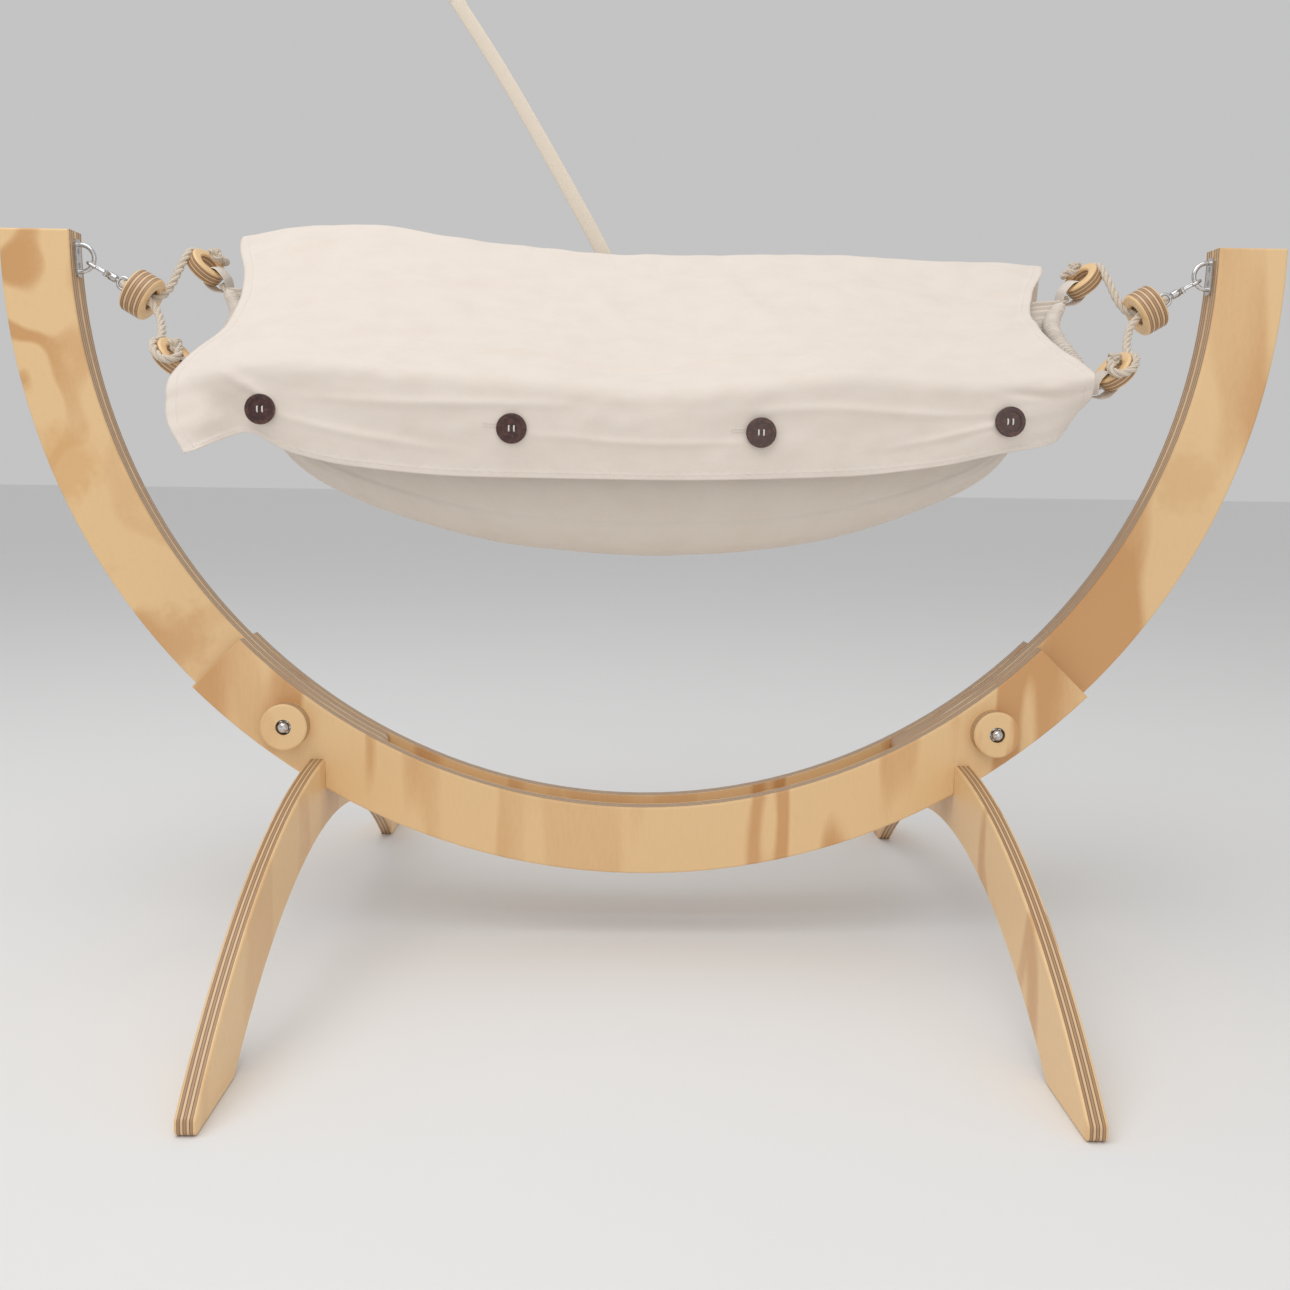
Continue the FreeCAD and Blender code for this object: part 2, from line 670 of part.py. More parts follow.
def cover():
    """The cover sheet: over the top, with a deep flap in front and a short turn-down behind."""
    flap = [V(0, COVER_FOLD[0], COVER_FLAP_Z), V(0, COVER_FOLD[0], COVER_FOLD[1]),
            V(0, COVER_BACK[0], COVER_BACK[1]), V(0, COVER_BACK[0], COVER_BACK_Z)]
    wire = path_wire(flap, [14.0, 10.0])
    edges = []
    for edge in wire.Edges:
        edges.append(edge)
    sheet = Part.Wire(edges).extrude(V(2 * COVER_HALF, 0, 0))
    sheet.translate(V(-COVER_HALF, 0, 0))
    solid = sheet.makeOffsetShape(COVER_T, 0.01, fill=True)
    for side in (-1, 1):
        reach = 150.0
        ends = [V(side * COVER_HALF, COVER_BACK[0] + 20, 700), V(side * (COVER_HALF - 36), -8, 700),
                V(side * (COVER_HALF - 2), COVER_FOLD[0] + 6, 700)]
        curve = Part.Arc(ends[0], ends[1], ends[2]).toShape()
        rim = Part.makePolygon([ends[2], V(side * (COVER_HALF + reach), ends[2].y, 700),
                                V(side * (COVER_HALF + reach), ends[0].y, 700), ends[0]])
        scoop = Part.Face(Part.Wire([curve] + rim.Edges)).extrude(V(0, 0, 200))
        scoop.translate(V(0, 0, -90))
        solid = solid.cut(scoop)
    return solid


def button_places():
    """Middles of the four buttons' backs."""
    face_y = COVER_FOLD[0] - COVER_T
    places = []
    for i in range(4):
        x = BUTTON_X0 + (i - 1.5) * BUTTON_PITCH
        places.append(V(x, face_y, BUTTON_Z + 18 * (x / 390) ** 2))
    return places


def button(place):
    """A flat button with a raised rim and four holes."""
    back = Part.makeCylinder(BUTTON_R, BUTTON_T, place, V(0, -1, 0))
    back = back.makeFillet(1.2, [e for e in back.Edges if len(e.Vertexes) == 1])
    dish = Part.makeCylinder(BUTTON_R - 4.5, 1.3, place + V(0, 1.3 - BUTTON_T, 0), V(0, -1, 0))
    back = back.cut(dish)
    for dx in (-2.6, 2.6):
        for dz in (-2.6, 2.6):
            back = back.cut(Part.makeCylinder(1.2, 8, place + V(dx, 2, dz), V(0, -1, 0)))
    return back


def button_thread(place):
    """Two stitches that hold a button, each through two of its holes."""
    stitches = []
    height = BUTTON_T - 1.3 + THREAD_R
    for dx in (-2.6, 2.6):
        points = [place + V(dx, 0, -2.6), place + V(dx, -height - 0.1, -2.6), place + V(dx, -height - 0.1, 2.6),
                  place + V(dx, 0, 2.6)]
        stitches.append(tube(points, [1.2, 1.2], THREAD_R))
    return stitches


def strap_loop_route():
    """The hand loop: on from the strap's end, round, and back against the strap's face."""
    end = STRAP_ROUTE[-1]
    run = (end - STRAP_ROUTE[-2]).normalize()
    wide = run.cross(STRAP_FACING).normalize()
    thick = run.cross(wide)
    shape = [(0, 0), (0.14, 0), (0.36, 0.4), (0.66, 0.98), (0.93, 0.85), (1.0, -0.1), (0.82, -0.95), (0.45, -0.85),
             (0.12, -0.14)]
    points = []
    for ahead, across in shape:
        points.append(end + run * (ahead * LOOP_LENGTH) + thick * (across * LOOP_HALF))
    points.append(end - run * 22 - thick * (STRAP_T + 0.3))
    return points


def strap_band(points):
    """Flat webbing along a route: straight runs joined by tangent arcs."""
    wire = path_wire(points, full_radii(points))
    run = (points[1] - points[0]).normalize()
    facing = (STRAP_ROUTE[-1] - STRAP_ROUTE[-2]).cross(STRAP_FACING)
    wide = (facing - run * facing.dot(run)).normalize()
    thick = run.cross(wide)
    corners = []
    for s1, s2 in ((-1, -1), (1, -1), (1, 1), (-1, 1)):
        corners.append(points[0] + wide * (s1 * STRAP_W / 2) + thick * (s2 * STRAP_T / 2))
    section = Part.makePolygon(corners + corners[:1])
    band = wire.makePipeShell([section], True, False)
    length = sum(edge.Length for edge in wire.Edges)
    print("webbing length", round(length, 1), "radii", [round(r) for r in full_radii(points)],
          "volume check", round(band.Volume / (length * STRAP_W * STRAP_T), 3))
    return band


def make_stand():
    """The two cheeks, the four arm boards, the legs and what holds them."""
    save("front_cheek", cheek(False))
    save("rear_cheek", cheek(True))
    washers = []
    screws = []
    for side, name in ((-1, "left"), (1, "right")):
        pilots = mirrored(screw_pilots(), side)
        save(name + "_arm_front_board", arm_board(side, False).cut(pilots))
        save(name + "_arm_rear_board", arm_board(side, True).cut(pilots))
        save(name + "_leg", leg(side))
        x, z = bolt_place(side)
        save(name + "_clamp_bolt", clamp_bolt(side))
        save(name + "_rear_disc", wooden_disc(x, z, STACK_HALF, 1))
        save(name + "_knob_disc", wooden_disc(x, z, -STACK_HALF - KNOB_GAP, -1))
        save(name + "_dome_nut", dome_nut(side))
        save(name + "_nut_washer", washer(x, z, front_floor_y() - WASHER_T))
        washers.append(washer(x, z, back_floor_y()))
        save(name + "_pad_eye", mirrored(pad_eye(), side))
        screws.append(mirrored(to_eye(Part.makeCompound(eye_screws())), side))
    save("bolt_head_washers", Part.makeCompound(washers))
    save("pad_eye_screws", Part.makeCompound(screws))


def make_hanging_gear():
    """Hooks, rings and ropes at both ends."""
    for side, name in ((-1, "left"), (1, "right")):
        save(name + "_hook_body", mirrored(hook_body(), side))
        save(name + "_hook_gate", mirrored(hook_gate(), side))
        save(name + "_gate_pin", mirrored(gate_pin(), side))
        save(name + "_swivel_link", mirrored(swivel_link(), side))
        save(name + "_hang_ring", mirrored(hang_ring(), side))
        save(name + "_back_corner_ring", mirrored(corner_ring(CORNER_BACK), side))
        save(name + "_front_corner_ring", mirrored(corner_ring(CORNER_FRONT), side))
        save(name + "_suspension_rope", mirrored(suspension_rope(), side))
        save(name + "_hem_rope", mirrored(hem_rope(), side))


def make_cloth():
    """Sling, end casings, tabs, cover, buttons and strap."""
    for side, name in ((-1, "left"), (1, "right")):
        save(name + "_end_casing", mirrored(end_casing(), side))
        tabs = [tab(CORNER_BACK), tab(CORNER_FRONT)]
        save(name + "_ring_tabs", mirrored(Part.makeCompound(tabs), side))
    save("sling", sling())
    save("cover", cover())
    save("cover_buttons", Part.makeCompound([button(p) for p in button_places()]))
    threads = []
    for place in button_places():
        threads += button_thread(place)
    save("button_threads", Part.makeCompound(threads))
    save("pull_strap", strap_band(STRAP_ROUTE))
    save("pull_strap_loop", strap_band(strap_loop_route()))


os.makedirs("parts", exist_ok=True)
make_stand()
make_hanging_gear()
make_cloth()
hang = hang_point()
print("swing axis z", round(hang.z, 3), "x", round(hang.x, 3))
print("gate pivot", along(*GATE_PIVOT), "square", along(0, 0, 1) - along(0))
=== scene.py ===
import math

import bpy
import numpy as np
from mathutils import Matrix, Vector, noise


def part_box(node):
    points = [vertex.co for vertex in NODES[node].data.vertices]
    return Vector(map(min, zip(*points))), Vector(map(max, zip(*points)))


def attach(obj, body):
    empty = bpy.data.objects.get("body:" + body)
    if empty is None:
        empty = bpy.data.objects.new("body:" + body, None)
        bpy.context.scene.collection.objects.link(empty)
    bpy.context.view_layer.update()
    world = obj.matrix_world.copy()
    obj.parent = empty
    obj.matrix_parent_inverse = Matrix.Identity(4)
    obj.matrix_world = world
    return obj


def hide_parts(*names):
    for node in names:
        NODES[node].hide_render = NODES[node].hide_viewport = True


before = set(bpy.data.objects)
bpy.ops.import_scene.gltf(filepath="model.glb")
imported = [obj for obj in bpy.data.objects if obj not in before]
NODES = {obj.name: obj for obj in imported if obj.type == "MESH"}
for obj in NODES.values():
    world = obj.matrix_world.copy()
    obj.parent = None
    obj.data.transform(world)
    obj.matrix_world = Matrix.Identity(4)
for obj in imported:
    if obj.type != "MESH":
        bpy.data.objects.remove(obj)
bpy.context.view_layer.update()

bl_info = {
    "name": "Cradle hammock finish",
    "version": (1, 0, 0),
    "blender": (4, 5, 0),
    "location": "3D View > Sidebar > Hammock",
    "description": "Finishes the cradle hammock's plywood, steel, ropes and cloth round its packed frame",
    "category": "Object",
}

MM = 0.001
SIDES = ("left", "right")
DULL_PARTS = ("clamp_bolt", "nut_washer", "gate_pin")
BRIGHT_PARTS = ("dome_nut", "pad_eye", "hook_body", "hook_gate", "swivel_link")
FLOOR_HALF = 30
CAMERA_AT = (-0.0191, -1.4569, 0.5227)
CAMERA_TILT = math.radians(85)
CAMERA_YAW = -0.0146
CAMERA_ROLL = 0.0139

# Places that the stand and the hanging gear share with the CAD model
STACK_HALF = -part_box("front_cheek")[0].y
BOARD = STACK_HALF / 2
LEG_X = 358 * MM
HANG_POINT = Vector((-606.775, 0, 738.982)) * MM
PULL_SLOPE = math.radians(30)
LINK_TURN_AT = 45.2 * MM
HANG_RING_AT = 62 * MM
HANG_RING_T = 27 * MM
ROPE_SPREAD = 6.5 * MM
CORNERS = {"back": Vector((-501.5, 58, 747.5)) * MM, "front": Vector((-501.5, -58, 636)) * MM}
CORNER_TILT = math.radians(48)
CORNER_LEAN = 0.3
CORNER_RING_R = 22 * MM
CORNER_RING_T = 16 * MM
ROPE_LAY_R = 23.5 * MM
STRAP_ROUTE = [
    (-0.046, 0.136, 0.770),
    (-0.052, 0.139, 0.786),
    (-0.096, 0.168, 0.866),
    (-0.152, 0.218, 0.968),
    (-0.205, 0.266, 1.060),
    (-0.252, 0.303, 1.134),
]
STRAP_FACING = Vector((0.25, 1, 0.15))
LOOP_LENGTH = 92 * MM
LOOP_HALF = 27 * MM
LOOP_SHAPE = [
    (0, 0),
    (0.14, 0),
    (0.36, 0.4),
    (0.66, 0.98),
    (0.93, 0.85),
    (1.0, -0.1),
    (0.82, -0.95),
    (0.45, -0.85),
    (0.12, -0.14),
]


# ---------------------------------------------------------------- settings


def paint(name, description, default):
    """A colour that a user may change."""
    return bpy.props.FloatVectorProperty(
        name=name, description=description, subtype="COLOR", size=4, min=0, max=1, default=(*default, 1))


def span(name, description, default, low, high):
    """A length that a user may change."""
    return bpy.props.FloatProperty(
        name=name, description=description, default=default, min=low, max=high, subtype="DISTANCE",
        unit="LENGTH")


class StandSettings(bpy.types.PropertyGroup):
    honey: paint("Honey", "Face veneer between its streaks", (0.86, 0.58, 0.29))
    streak: paint("Streak", "Late wood in the face veneer", (0.62, 0.30, 0.095))
    long_ply: paint("Long ply", "Plies whose grain runs along a sawn edge", (0.80, 0.56, 0.31))
    end_ply: paint("End ply", "Plies that show their end grain on a sawn edge", (0.46, 0.27, 0.14))
    varnish: bpy.props.FloatProperty(
        name="Varnish", description="Strength of the clear finish", min=0, max=1, default=0.25,
        subtype="FACTOR")


class ClothSettings(bpy.types.PropertyGroup):
    cover: paint("Cover", "Washed cotton of the cover", (0.87, 0.785, 0.715))
    sling: paint("Sling", "Heavier cotton of the sling", (0.78, 0.71, 0.64))
    thickness: span("Cloth", "Thickness of the cloth", 0.0012, 0.0004, 0.003)
    hem: span("Hem", "Width of the cover's hems", 0.012, 0.004, 0.03)
    stitch: span("Stitch", "Distance from stitch to stitch", 0.0036, 0.002, 0.01)
    button: paint("Button", "Colour of the buttons", (0.045, 0.014, 0.014))


class RopeSettings(bpy.types.PropertyGroup):
    radius: span("Rope radius", "Radius of the three-strand rope", 0.0045, 0.001, 0.02)
    lay: span("Lay", "Length of one full twist of the rope", 0.030, 0.01, 0.1)
    colour: paint("Cotton", "Unbleached cotton of ropes and strap", (0.80, 0.70, 0.58))
    strap_width: span("Strap width", "Width of the pull strap", 0.018, 0.008, 0.04)
    strap_thickness: span("Strap thickness", "Thickness of the pull strap", 0.0026, 0.001, 0.005)


class StageSettings(bpy.types.PropertyGroup):
    floor: paint("Floor", "Colour of the studio floor", (0.86, 0.86, 0.86))
    key: bpy.props.FloatProperty(
        name="Key light", description="Power of the soft light overhead", default=44, min=0, max=500,
        unit="POWER")
    fill: bpy.props.FloatProperty(
        name="Fill light", description="Power of the soft light in front", default=12, min=0, max=500,
        unit="POWER")


# ---------------------------------------------------------------- node wiring


def add_node(tree, kind, **settings):
    """A new node with its settings."""
    made = tree.nodes.new(kind)
    for key, value in settings.items():
        setattr(made, key, value)
    return made


def feed(tree, socket, value):
    """Link an output into a socket, or set the socket's constant."""
    if isinstance(value, bpy.types.NodeSocket):
        tree.links.new(value, socket)
    else:
        socket.default_value = value


def calc(tree, operation, *values, clamp=False, kind="ShaderNodeMath"):
    """One arithmetic step."""
    made = add_node(tree, kind, operation=operation, use_clamp=clamp)
    for socket, value in zip(made.inputs, values):
        feed(tree, socket, value)
    return made.outputs[0]


def turn_vector(tree, operation, *values):
    """One vector step; a dot product or a length comes out as a value."""
    made = add_node(tree, "ShaderNodeVectorMath", operation=operation)
    for socket, value in zip(made.inputs, values):
        feed(tree, socket, value)
    return made.outputs["Value" if operation in ("DOT_PRODUCT", "LENGTH", "DISTANCE") else "Vector"]


def ease(tree, value, low, high, to_low=0.0, to_high=1.0):
    """Map a value from one range to another with soft ends."""
    made = add_node(tree, "ShaderNodeMapRange", interpolation_type="SMOOTHSTEP")
    for socket, given in zip(made.inputs, (value, low, high, to_low, to_high)):
        feed(tree, socket, given)
    return made.outputs[0]


def tint(tree, factor, first, second, how="MIX"):
    """Mix two colours."""
    made = add_node(tree, "ShaderNodeMix", data_type="RGBA", blend_type=how)
    for index, value in ((0, factor), (6, first), (7, second)):
        feed(tree, made.inputs[index], value)
    return made.outputs[2]


def dimmed(colour, *shares):
    """A colour turned down: one share for all of it, or one each for red, green and blue."""
    return (*(c * k for c, k in zip(colour, shares * (3 // len(shares)))), 1)


def once(build):
    """Build nodes a single time, and hand out the same ones after that."""
    made = []

    def give(tree):
        if not made:
            made.append(build(tree))
        return made[0]

    return give


def grainy(tree, vector, scale, detail=3.0, rough=0.5):
    """Soft noise from 0 to 1."""
    made = add_node(tree, "ShaderNodeTexNoise", noise_dimensions="3D")
    feed(tree, made.inputs["Vector"], vector)
    feed(tree, made.inputs["Scale"], scale)
    made.inputs["Detail"].default_value = detail
    made.inputs["Roughness"].default_value = rough
    return made.outputs[0]


def new_group(name, inputs, outputs):
    """A shader group with its named sockets: the tree, its inputs and its outputs."""
    tree = bpy.data.node_groups.new(name, "ShaderNodeTree")
    for label, kind, default in inputs:
        socket = tree.interface.new_socket(label, in_out="INPUT", socket_type="NodeSocket" + kind)
        socket.default_value = default
    for label, kind in outputs:
        tree.interface.new_socket(label, in_out="OUTPUT", socket_type="NodeSocket" + kind)
    return tree, add_node(tree, "NodeGroupInput").outputs, add_node(tree, "NodeGroupOutput").inputs


def place_group(tree, group, **values):
    """Put a shader group in a material with its own values."""
    made = add_node(tree, "ShaderNodeGroup", node_tree=group)
    for key, value in values.items():
        feed(tree, made.inputs[key.replace("_", " ")], value)
    return made.outputs


def new_finish(name, colour, roughness, height=None, bump=0.3, distance=0.0006, metallic=0.0):
    """A material round functions that build its colour, roughness and height in its own tree."""
    finish = bpy.data.materials.new(name)
    finish.use_nodes = True
    tree = finish.node_tree
    shader = tree.nodes["Principled BSDF"]
    feed(tree, shader.inputs["Base Color"], colour(tree) if callable(colour) else colour)
    feed(tree, shader.inputs["Roughness"], roughness(tree) if callable(roughness) else roughness)
    shader.inputs["Metallic"].default_value = metallic
    if height is not None:
        raised = add_node(tree, "ShaderNodeBump")
        raised.inputs["Strength"].default_value = bump
        raised.inputs["Distance"].default_value = distance
        feed(tree, raised.inputs["Height"], height(tree))
        tree.links.new(raised.outputs[0], shader.inputs["Normal"])
    return finish, shader


# ---------------------------------------------------------------- shared shader effects


def plywood_group():
    """Colour, roughness and height of veneered board, from the depth through its plies."""
    tree, given, out = new_group(
        "Plywood layers",
        [("Depth", "Float", 0.0), ("Ply", "Float", 0.00257), ("Plies", "Float", 7.0),
         ("Vector", "Vector", (0, 0, 0)), ("Along", "Vector", (1, 1, 1)), ("Figure", "Float", 5.0),
         ("Honey", "Color", (1, 1, 1, 1)), ("Streak", "Color", (1, 1, 1, 1)),
         ("Long ply", "Color", (1, 1, 1, 1)), ("End ply", "Color", (1, 1, 1, 1))],
        [("Color", "Color"), ("Roughness", "Float"), ("Height", "Float")])
    layers = calc(tree, "DIVIDE", given["Depth"], given["Ply"])
    board = calc(tree, "DIVIDE", layers, given["Plies"])
    within = calc(tree, "MULTIPLY", calc(tree, "FRACT", board), given["Plies"])
    layer = calc(tree, "FLOOR", within)
    half = calc(tree, "MULTIPLY", given["Plies"], 0.5)
    from_middle = calc(tree, "ABSOLUTE", calc(tree, "SUBTRACT", within, half))
    face = calc(tree, "GREATER_THAN", from_middle, calc(tree, "SUBTRACT", half, 1.0))
    inner = calc(tree, "LESS_THAN", from_middle, calc(tree, "SUBTRACT", half, 0.5))
    off_line = calc(tree, "ABSOLUTE", calc(tree, "SUBTRACT", within, calc(tree, "ROUND", within)))
    glue = calc(tree, "MULTIPLY", ease(tree, off_line, 0.06, 0.17, 1.0, 0.0), inner)
    crossed = calc(tree, "MODULO", layer, 2.0)
    shade = add_node(tree, "ShaderNodeTexWhiteNoise", noise_dimensions="1D")
    feed(tree, shade.inputs["W"], calc(tree, "ADD", calc(tree, "FLOOR", layers), 3.0))

    stretched = turn_vector(tree, "MULTIPLY", given["Vector"], given["Along"])
    flow = grainy(tree, stretched, 1.0, 2.0, 0.45)
    bands = calc(tree, "SINE", calc(tree, "MULTIPLY", flow, calc(tree, "MULTIPLY", given["Figure"], 6.2832)))
    bands = ease(tree, bands, -0.1, 0.95)
    patch = ease(tree, grainy(tree, stretched, 0.7, 1.0), 0.42, 0.66)
    fibre = grainy(tree, turn_vector(tree, "MULTIPLY", stretched, (40.0, 40.0, 40.0)), 1.0, 3.0, 0.6)
    figure = calc(tree, "MULTIPLY", bands, calc(tree, "ADD", calc(tree, "MULTIPLY", patch, 0.9), 0.3))
    streaks = calc(tree, "MULTIPLY", calc(tree, "SUBTRACT", fibre, 0.5), 0.35)
    figure = calc(tree, "ADD", figure, streaks, clamp=True)
    veneer = tint(tree, figure, given["Honey"], given["Streak"])
    veneer = tint(tree, calc(tree, "MULTIPLY", grainy(tree, given["Vector"], 3.5, 2.0), 0.35), veneer,
                  (0.90, 0.66, 0.39, 1))

    pores = grainy(tree, turn_vector(tree, "MULTIPLY", given["Vector"], (900, 900, 900)), 1.0, 2.0, 0.7)
    edge = tint(tree, crossed, given["Long ply"], given["End ply"])
    edge = tint(tree, calc(tree, "MULTIPLY", shade.outputs["Value"], 0.4), edge, (0.60, 0.37, 0.20, 1))
    pores = calc(tree, "MULTIPLY", calc(tree, "MULTIPLY", pores, crossed), 0.35)
    edge = tint(tree, pores, edge, (0.2, 0.09, 0.045, 1))
    edge = tint(tree, calc(tree, "MULTIPLY", glue, 0.9), edge, (0.09, 0.042, 0.022, 1))
    feed(tree, out["Color"], tint(tree, face, edge, veneer))
    feed(tree, out["Roughness"], ease(tree, fibre, 0.2, 0.8, 0.36, 0.52))
    height = calc(tree, "MULTIPLY", calc(tree, "SUBTRACT", 1.0, face), calc(tree, "SUBTRACT", 1.0, glue))
    height = calc(tree, "ADD", calc(tree, "MULTIPLY", height, 0.6), calc(tree, "MULTIPLY", fibre, 0.3))
    feed(tree, out["Height"], calc(tree, "ADD", height, calc(tree, "MULTIPLY", face, 0.5)))


def weave_group():
    """Plain weave over a surface's own map: thread height, slub and a painted soft shade that follows the
    crumples.
    """
    tree, given, out = new_group(
        "Cotton weave", [("Vector", "Vector", (0, 0, 0)), ("Pitch", "Float", 0.0007)],
        [("Height", "Float"), ("Slub", "Float"), ("Crumple shade", "Float")])
    split = add_node(tree, "ShaderNodeSeparateXYZ")
    feed(tree, split.inputs[0], given["Vector"])
    turns = calc(tree, "DIVIDE", 3.14159, given["Pitch"])
    waves = [calc(tree, "SINE", calc(tree, "MULTIPLY", split.outputs[i], turns)) for i in range(2)]
    over = calc(tree, "MULTIPLY", waves[0], waves[1])
    slub = grainy(tree, turn_vector(tree, "MULTIPLY", given["Vector"], (90, 1100, 1)), 1.0, 2.0, 0.6)
    cross = grainy(tree, turn_vector(tree, "MULTIPLY", given["Vector"], (1100, 90, 1)), 1.0, 2.0, 0.6)
    slub = calc(tree, "ADD", calc(tree, "MULTIPLY", slub, 0.5), calc(tree, "MULTIPLY", cross, 0.5))
    crumple = grainy(tree, turn_vector(tree, "MULTIPLY", given["Vector"], (22, 34, 1)), 1.0, 5.0, 0.62)
    height = calc(tree, "ADD", calc(tree, "MULTIPLY", over, 0.16), calc(tree, "MULTIPLY", slub, 0.3))
    feed(tree, out["Height"], calc(tree, "ADD", height, calc(tree, "MULTIPLY", crumple, 1.6)))
    feed(tree, out["Slub"], slub)
    feed(tree, out["Crumple shade"], crumple)


def yarn_group():
    """Yarns that wind round one strand of a rope."""
    tree, given, out = new_group(
        "Rope yarns", [("Round", "Vector", (1, 0, 0)), ("Along", "Float", 0.0)],
        [("Height", "Float"), ("Fuzz", "Float")])
    split = add_node(tree, "ShaderNodeSeparateXYZ")
    feed(tree, split.inputs[0], given["Round"])
    around = calc(tree, "ARCTAN2", split.outputs[1], split.outputs[0])
    wound = calc(tree, "MULTIPLY", given["Along"], 1500.0)
    wound = calc(tree, "SUBTRACT", calc(tree, "MULTIPLY", around, 7.0), wound)
    yarns = calc(tree, "ABSOLUTE", calc(tree, "SINE", calc(tree, "MULTIPLY", wound, 0.5)))
    place = add_node(tree, "ShaderNodeCombineXYZ")
    feed(tree, place.inputs[0], calc(tree, "MULTIPLY", given["Along"], 900.0))
    feed(tree, place.inputs[1], split.outputs[0])
    feed(tree, place.inputs[2], split.outputs[1])
    fuzz = grainy(tree, place.outputs[0], 2.5, 3.0, 0.7)
    feed(tree, out["Height"], calc(tree, "ADD", yarns, calc(tree, "MULTIPLY", fuzz, 0.4)))
    feed(tree, out["Fuzz"], fuzz)


# ---------------------------------------------------------------- finishes


def own_position(tree):
    """The piece's own coordinates."""
    return add_node(tree, "ShaderNodeTexCoord").outputs["Object"]


def plywood(name, axis, start, ply, plies, along, figure, settings, patches=()):
    """Varnished board whose plies lie across an axis, starting at a depth along it."""
    group = bpy.data.node_groups["Plywood layers"]
    position = once(own_position)

    @once
    def look(tree):
        here = position(tree)
        depth = calc(tree, "SUBTRACT", turn_vector(tree, "DOT_PRODUCT", here, tuple(axis)), start)
        return place_group(
            tree, group, Depth=depth, Ply=ply, Plies=float(plies), Vector=here, Along=tuple(along),
            Figure=figure, Honey=tuple(settings.honey), Streak=tuple(settings.streak),
            Long_ply=tuple(settings.long_ply), End_ply=tuple(settings.end_ply))

    def colour(tree):
        shade = look(tree)["Color"]
        for centre, radius, stain, strength in patches:
            wobble = calc(tree, "SUBTRACT", grainy(tree, position(tree), 60.0, 2.0), 0.5)
            far = turn_vector(tree, "DISTANCE", position(tree), centre)
            far = calc(tree, "ADD", far, calc(tree, "MULTIPLY", wobble, radius))
            shade = tint(tree, ease(tree, far, radius * 0.4, radius, strength, 0.0), shade, stain)
        return shade

    finish, shader = new_finish(
        name, colour, lambda tree: look(tree)["Roughness"], lambda tree: look(tree)["Height"], 0.35, 0.0005)
    shader.inputs["Coat Weight"].default_value = settings.varnish
    shader.inputs["Coat Roughness"].default_value = 0.28
    return finish


def steel(name, colour, low, high):
    """Plated steel with fine handling marks."""
    def marks(tree):
        return grainy(tree, own_position(tree), 420.0, 3.0, 0.65)

    def roughness(tree):
        return ease(tree, marks(tree), 0.25, 0.75, low, high)

    def shade(tree):
        return tint(tree, ease(tree, marks(tree), 0.3, 0.7), colour, dimmed(colour, 0.72))

    return new_finish(name, shade, roughness, marks, 0.12, 0.0002, metallic=1.0)[0]


def cotton(name, colour, pitch, sheen=0.25, bump=0.35):
    """Woven cotton, on the piece's own map in metres."""
    group = bpy.data.node_groups["Cotton weave"]

    @once
    def look(tree):
        place = add_node(tree, "ShaderNodeUVMap", uv_map="cloth").outputs[0]
        return place_group(tree, group, Vector=place, Pitch=pitch)

    def shade(tree):
        out = look(tree)
        darker = dimmed(colour, 0.86, 0.83, 0.79)
        mixed = tint(tree, calc(tree, "MULTIPLY", out["Slub"], 0.45), colour, darker)
        # Painted shade: the cloth is darkened where its crumple noise runs high
        return tint(tree, ease(tree, out["Crumple shade"], 0.35, 0.75, 0.0, 0.3), mixed, darker)

    def roughness(tree):
        return ease(tree, look(tree)["Slub"], 0.2, 0.8, 0.78, 0.94)

    finish, shader = new_finish(name, shade, roughness, lambda tree: look(tree)["Height"], bump, 0.0011)
    shader.inputs["Sheen Weight"].default_value = sheen
    shader.inputs["Sheen Roughness"].default_value = 0.5
    return finish


def rope_cotton(name, colour):
    """Soft laid rope with its yarns."""
    group = bpy.data.node_groups["Rope yarns"]

    @once
    def look(tree):
        around = add_node(tree, "ShaderNodeAttribute", attribute_name="round").outputs["Vector"]
        run = add_node(tree, "ShaderNodeAttribute", attribute_name="along").outputs["Fac"]
        return place_group(tree, group, Round=around, Along=run)

    def shade(tree):
        out = look(tree)
        shadow = dimmed(colour, 0.62, 0.56, 0.50)
        mixed = tint(tree, ease(tree, out["Height"], 0.1, 0.9, 0.7, 0.0), colour, shadow)
        return tint(tree, ease(tree, out["Fuzz"], 0.5, 0.8, 0.0, 0.35), mixed, (0.92, 0.86, 0.78, 1))

    finish, shader = new_finish(name, shade, 0.9, lambda tree: look(tree)["Height"], 0.7, 0.0007)
    shader.inputs["Sheen Weight"].default_value = 0.3
    return finish


def webbing(name, colour):
    """Ribbed strap webbing, on its own map in metres."""
    def ribs(tree):
        split = add_node(tree, "ShaderNodeSeparateXYZ")
        tree.links.new(add_node(tree, "ShaderNodeUVMap", uv_map="cloth").outputs[0], split.inputs[0])
        across = calc(tree, "SINE", calc(tree, "MULTIPLY", split.outputs[0], 3900.0))
        slanted = calc(tree, "MULTIPLY", split.outputs[1], 3100.0)
        slanted = calc(tree, "ADD", slanted, calc(tree, "MULTIPLY", across, 0.9))
        both = calc(tree, "ADD", across, calc(tree, "SINE", slanted))
        return calc(tree, "MULTIPLY", both, 0.5)

    def shade(tree):
        # Painted shade: the low ground between the ribs is darkened
        return tint(tree, ease(tree, ribs(tree), -0.9, 0.2, 0.4, 0.0), colour, dimmed(colour, 0.72))

    finish, shader = new_finish(name, shade, 0.82, ribs, 0.5, 0.0004)
    shader.inputs["Sheen Weight"].default_value = 0.25
    return finish


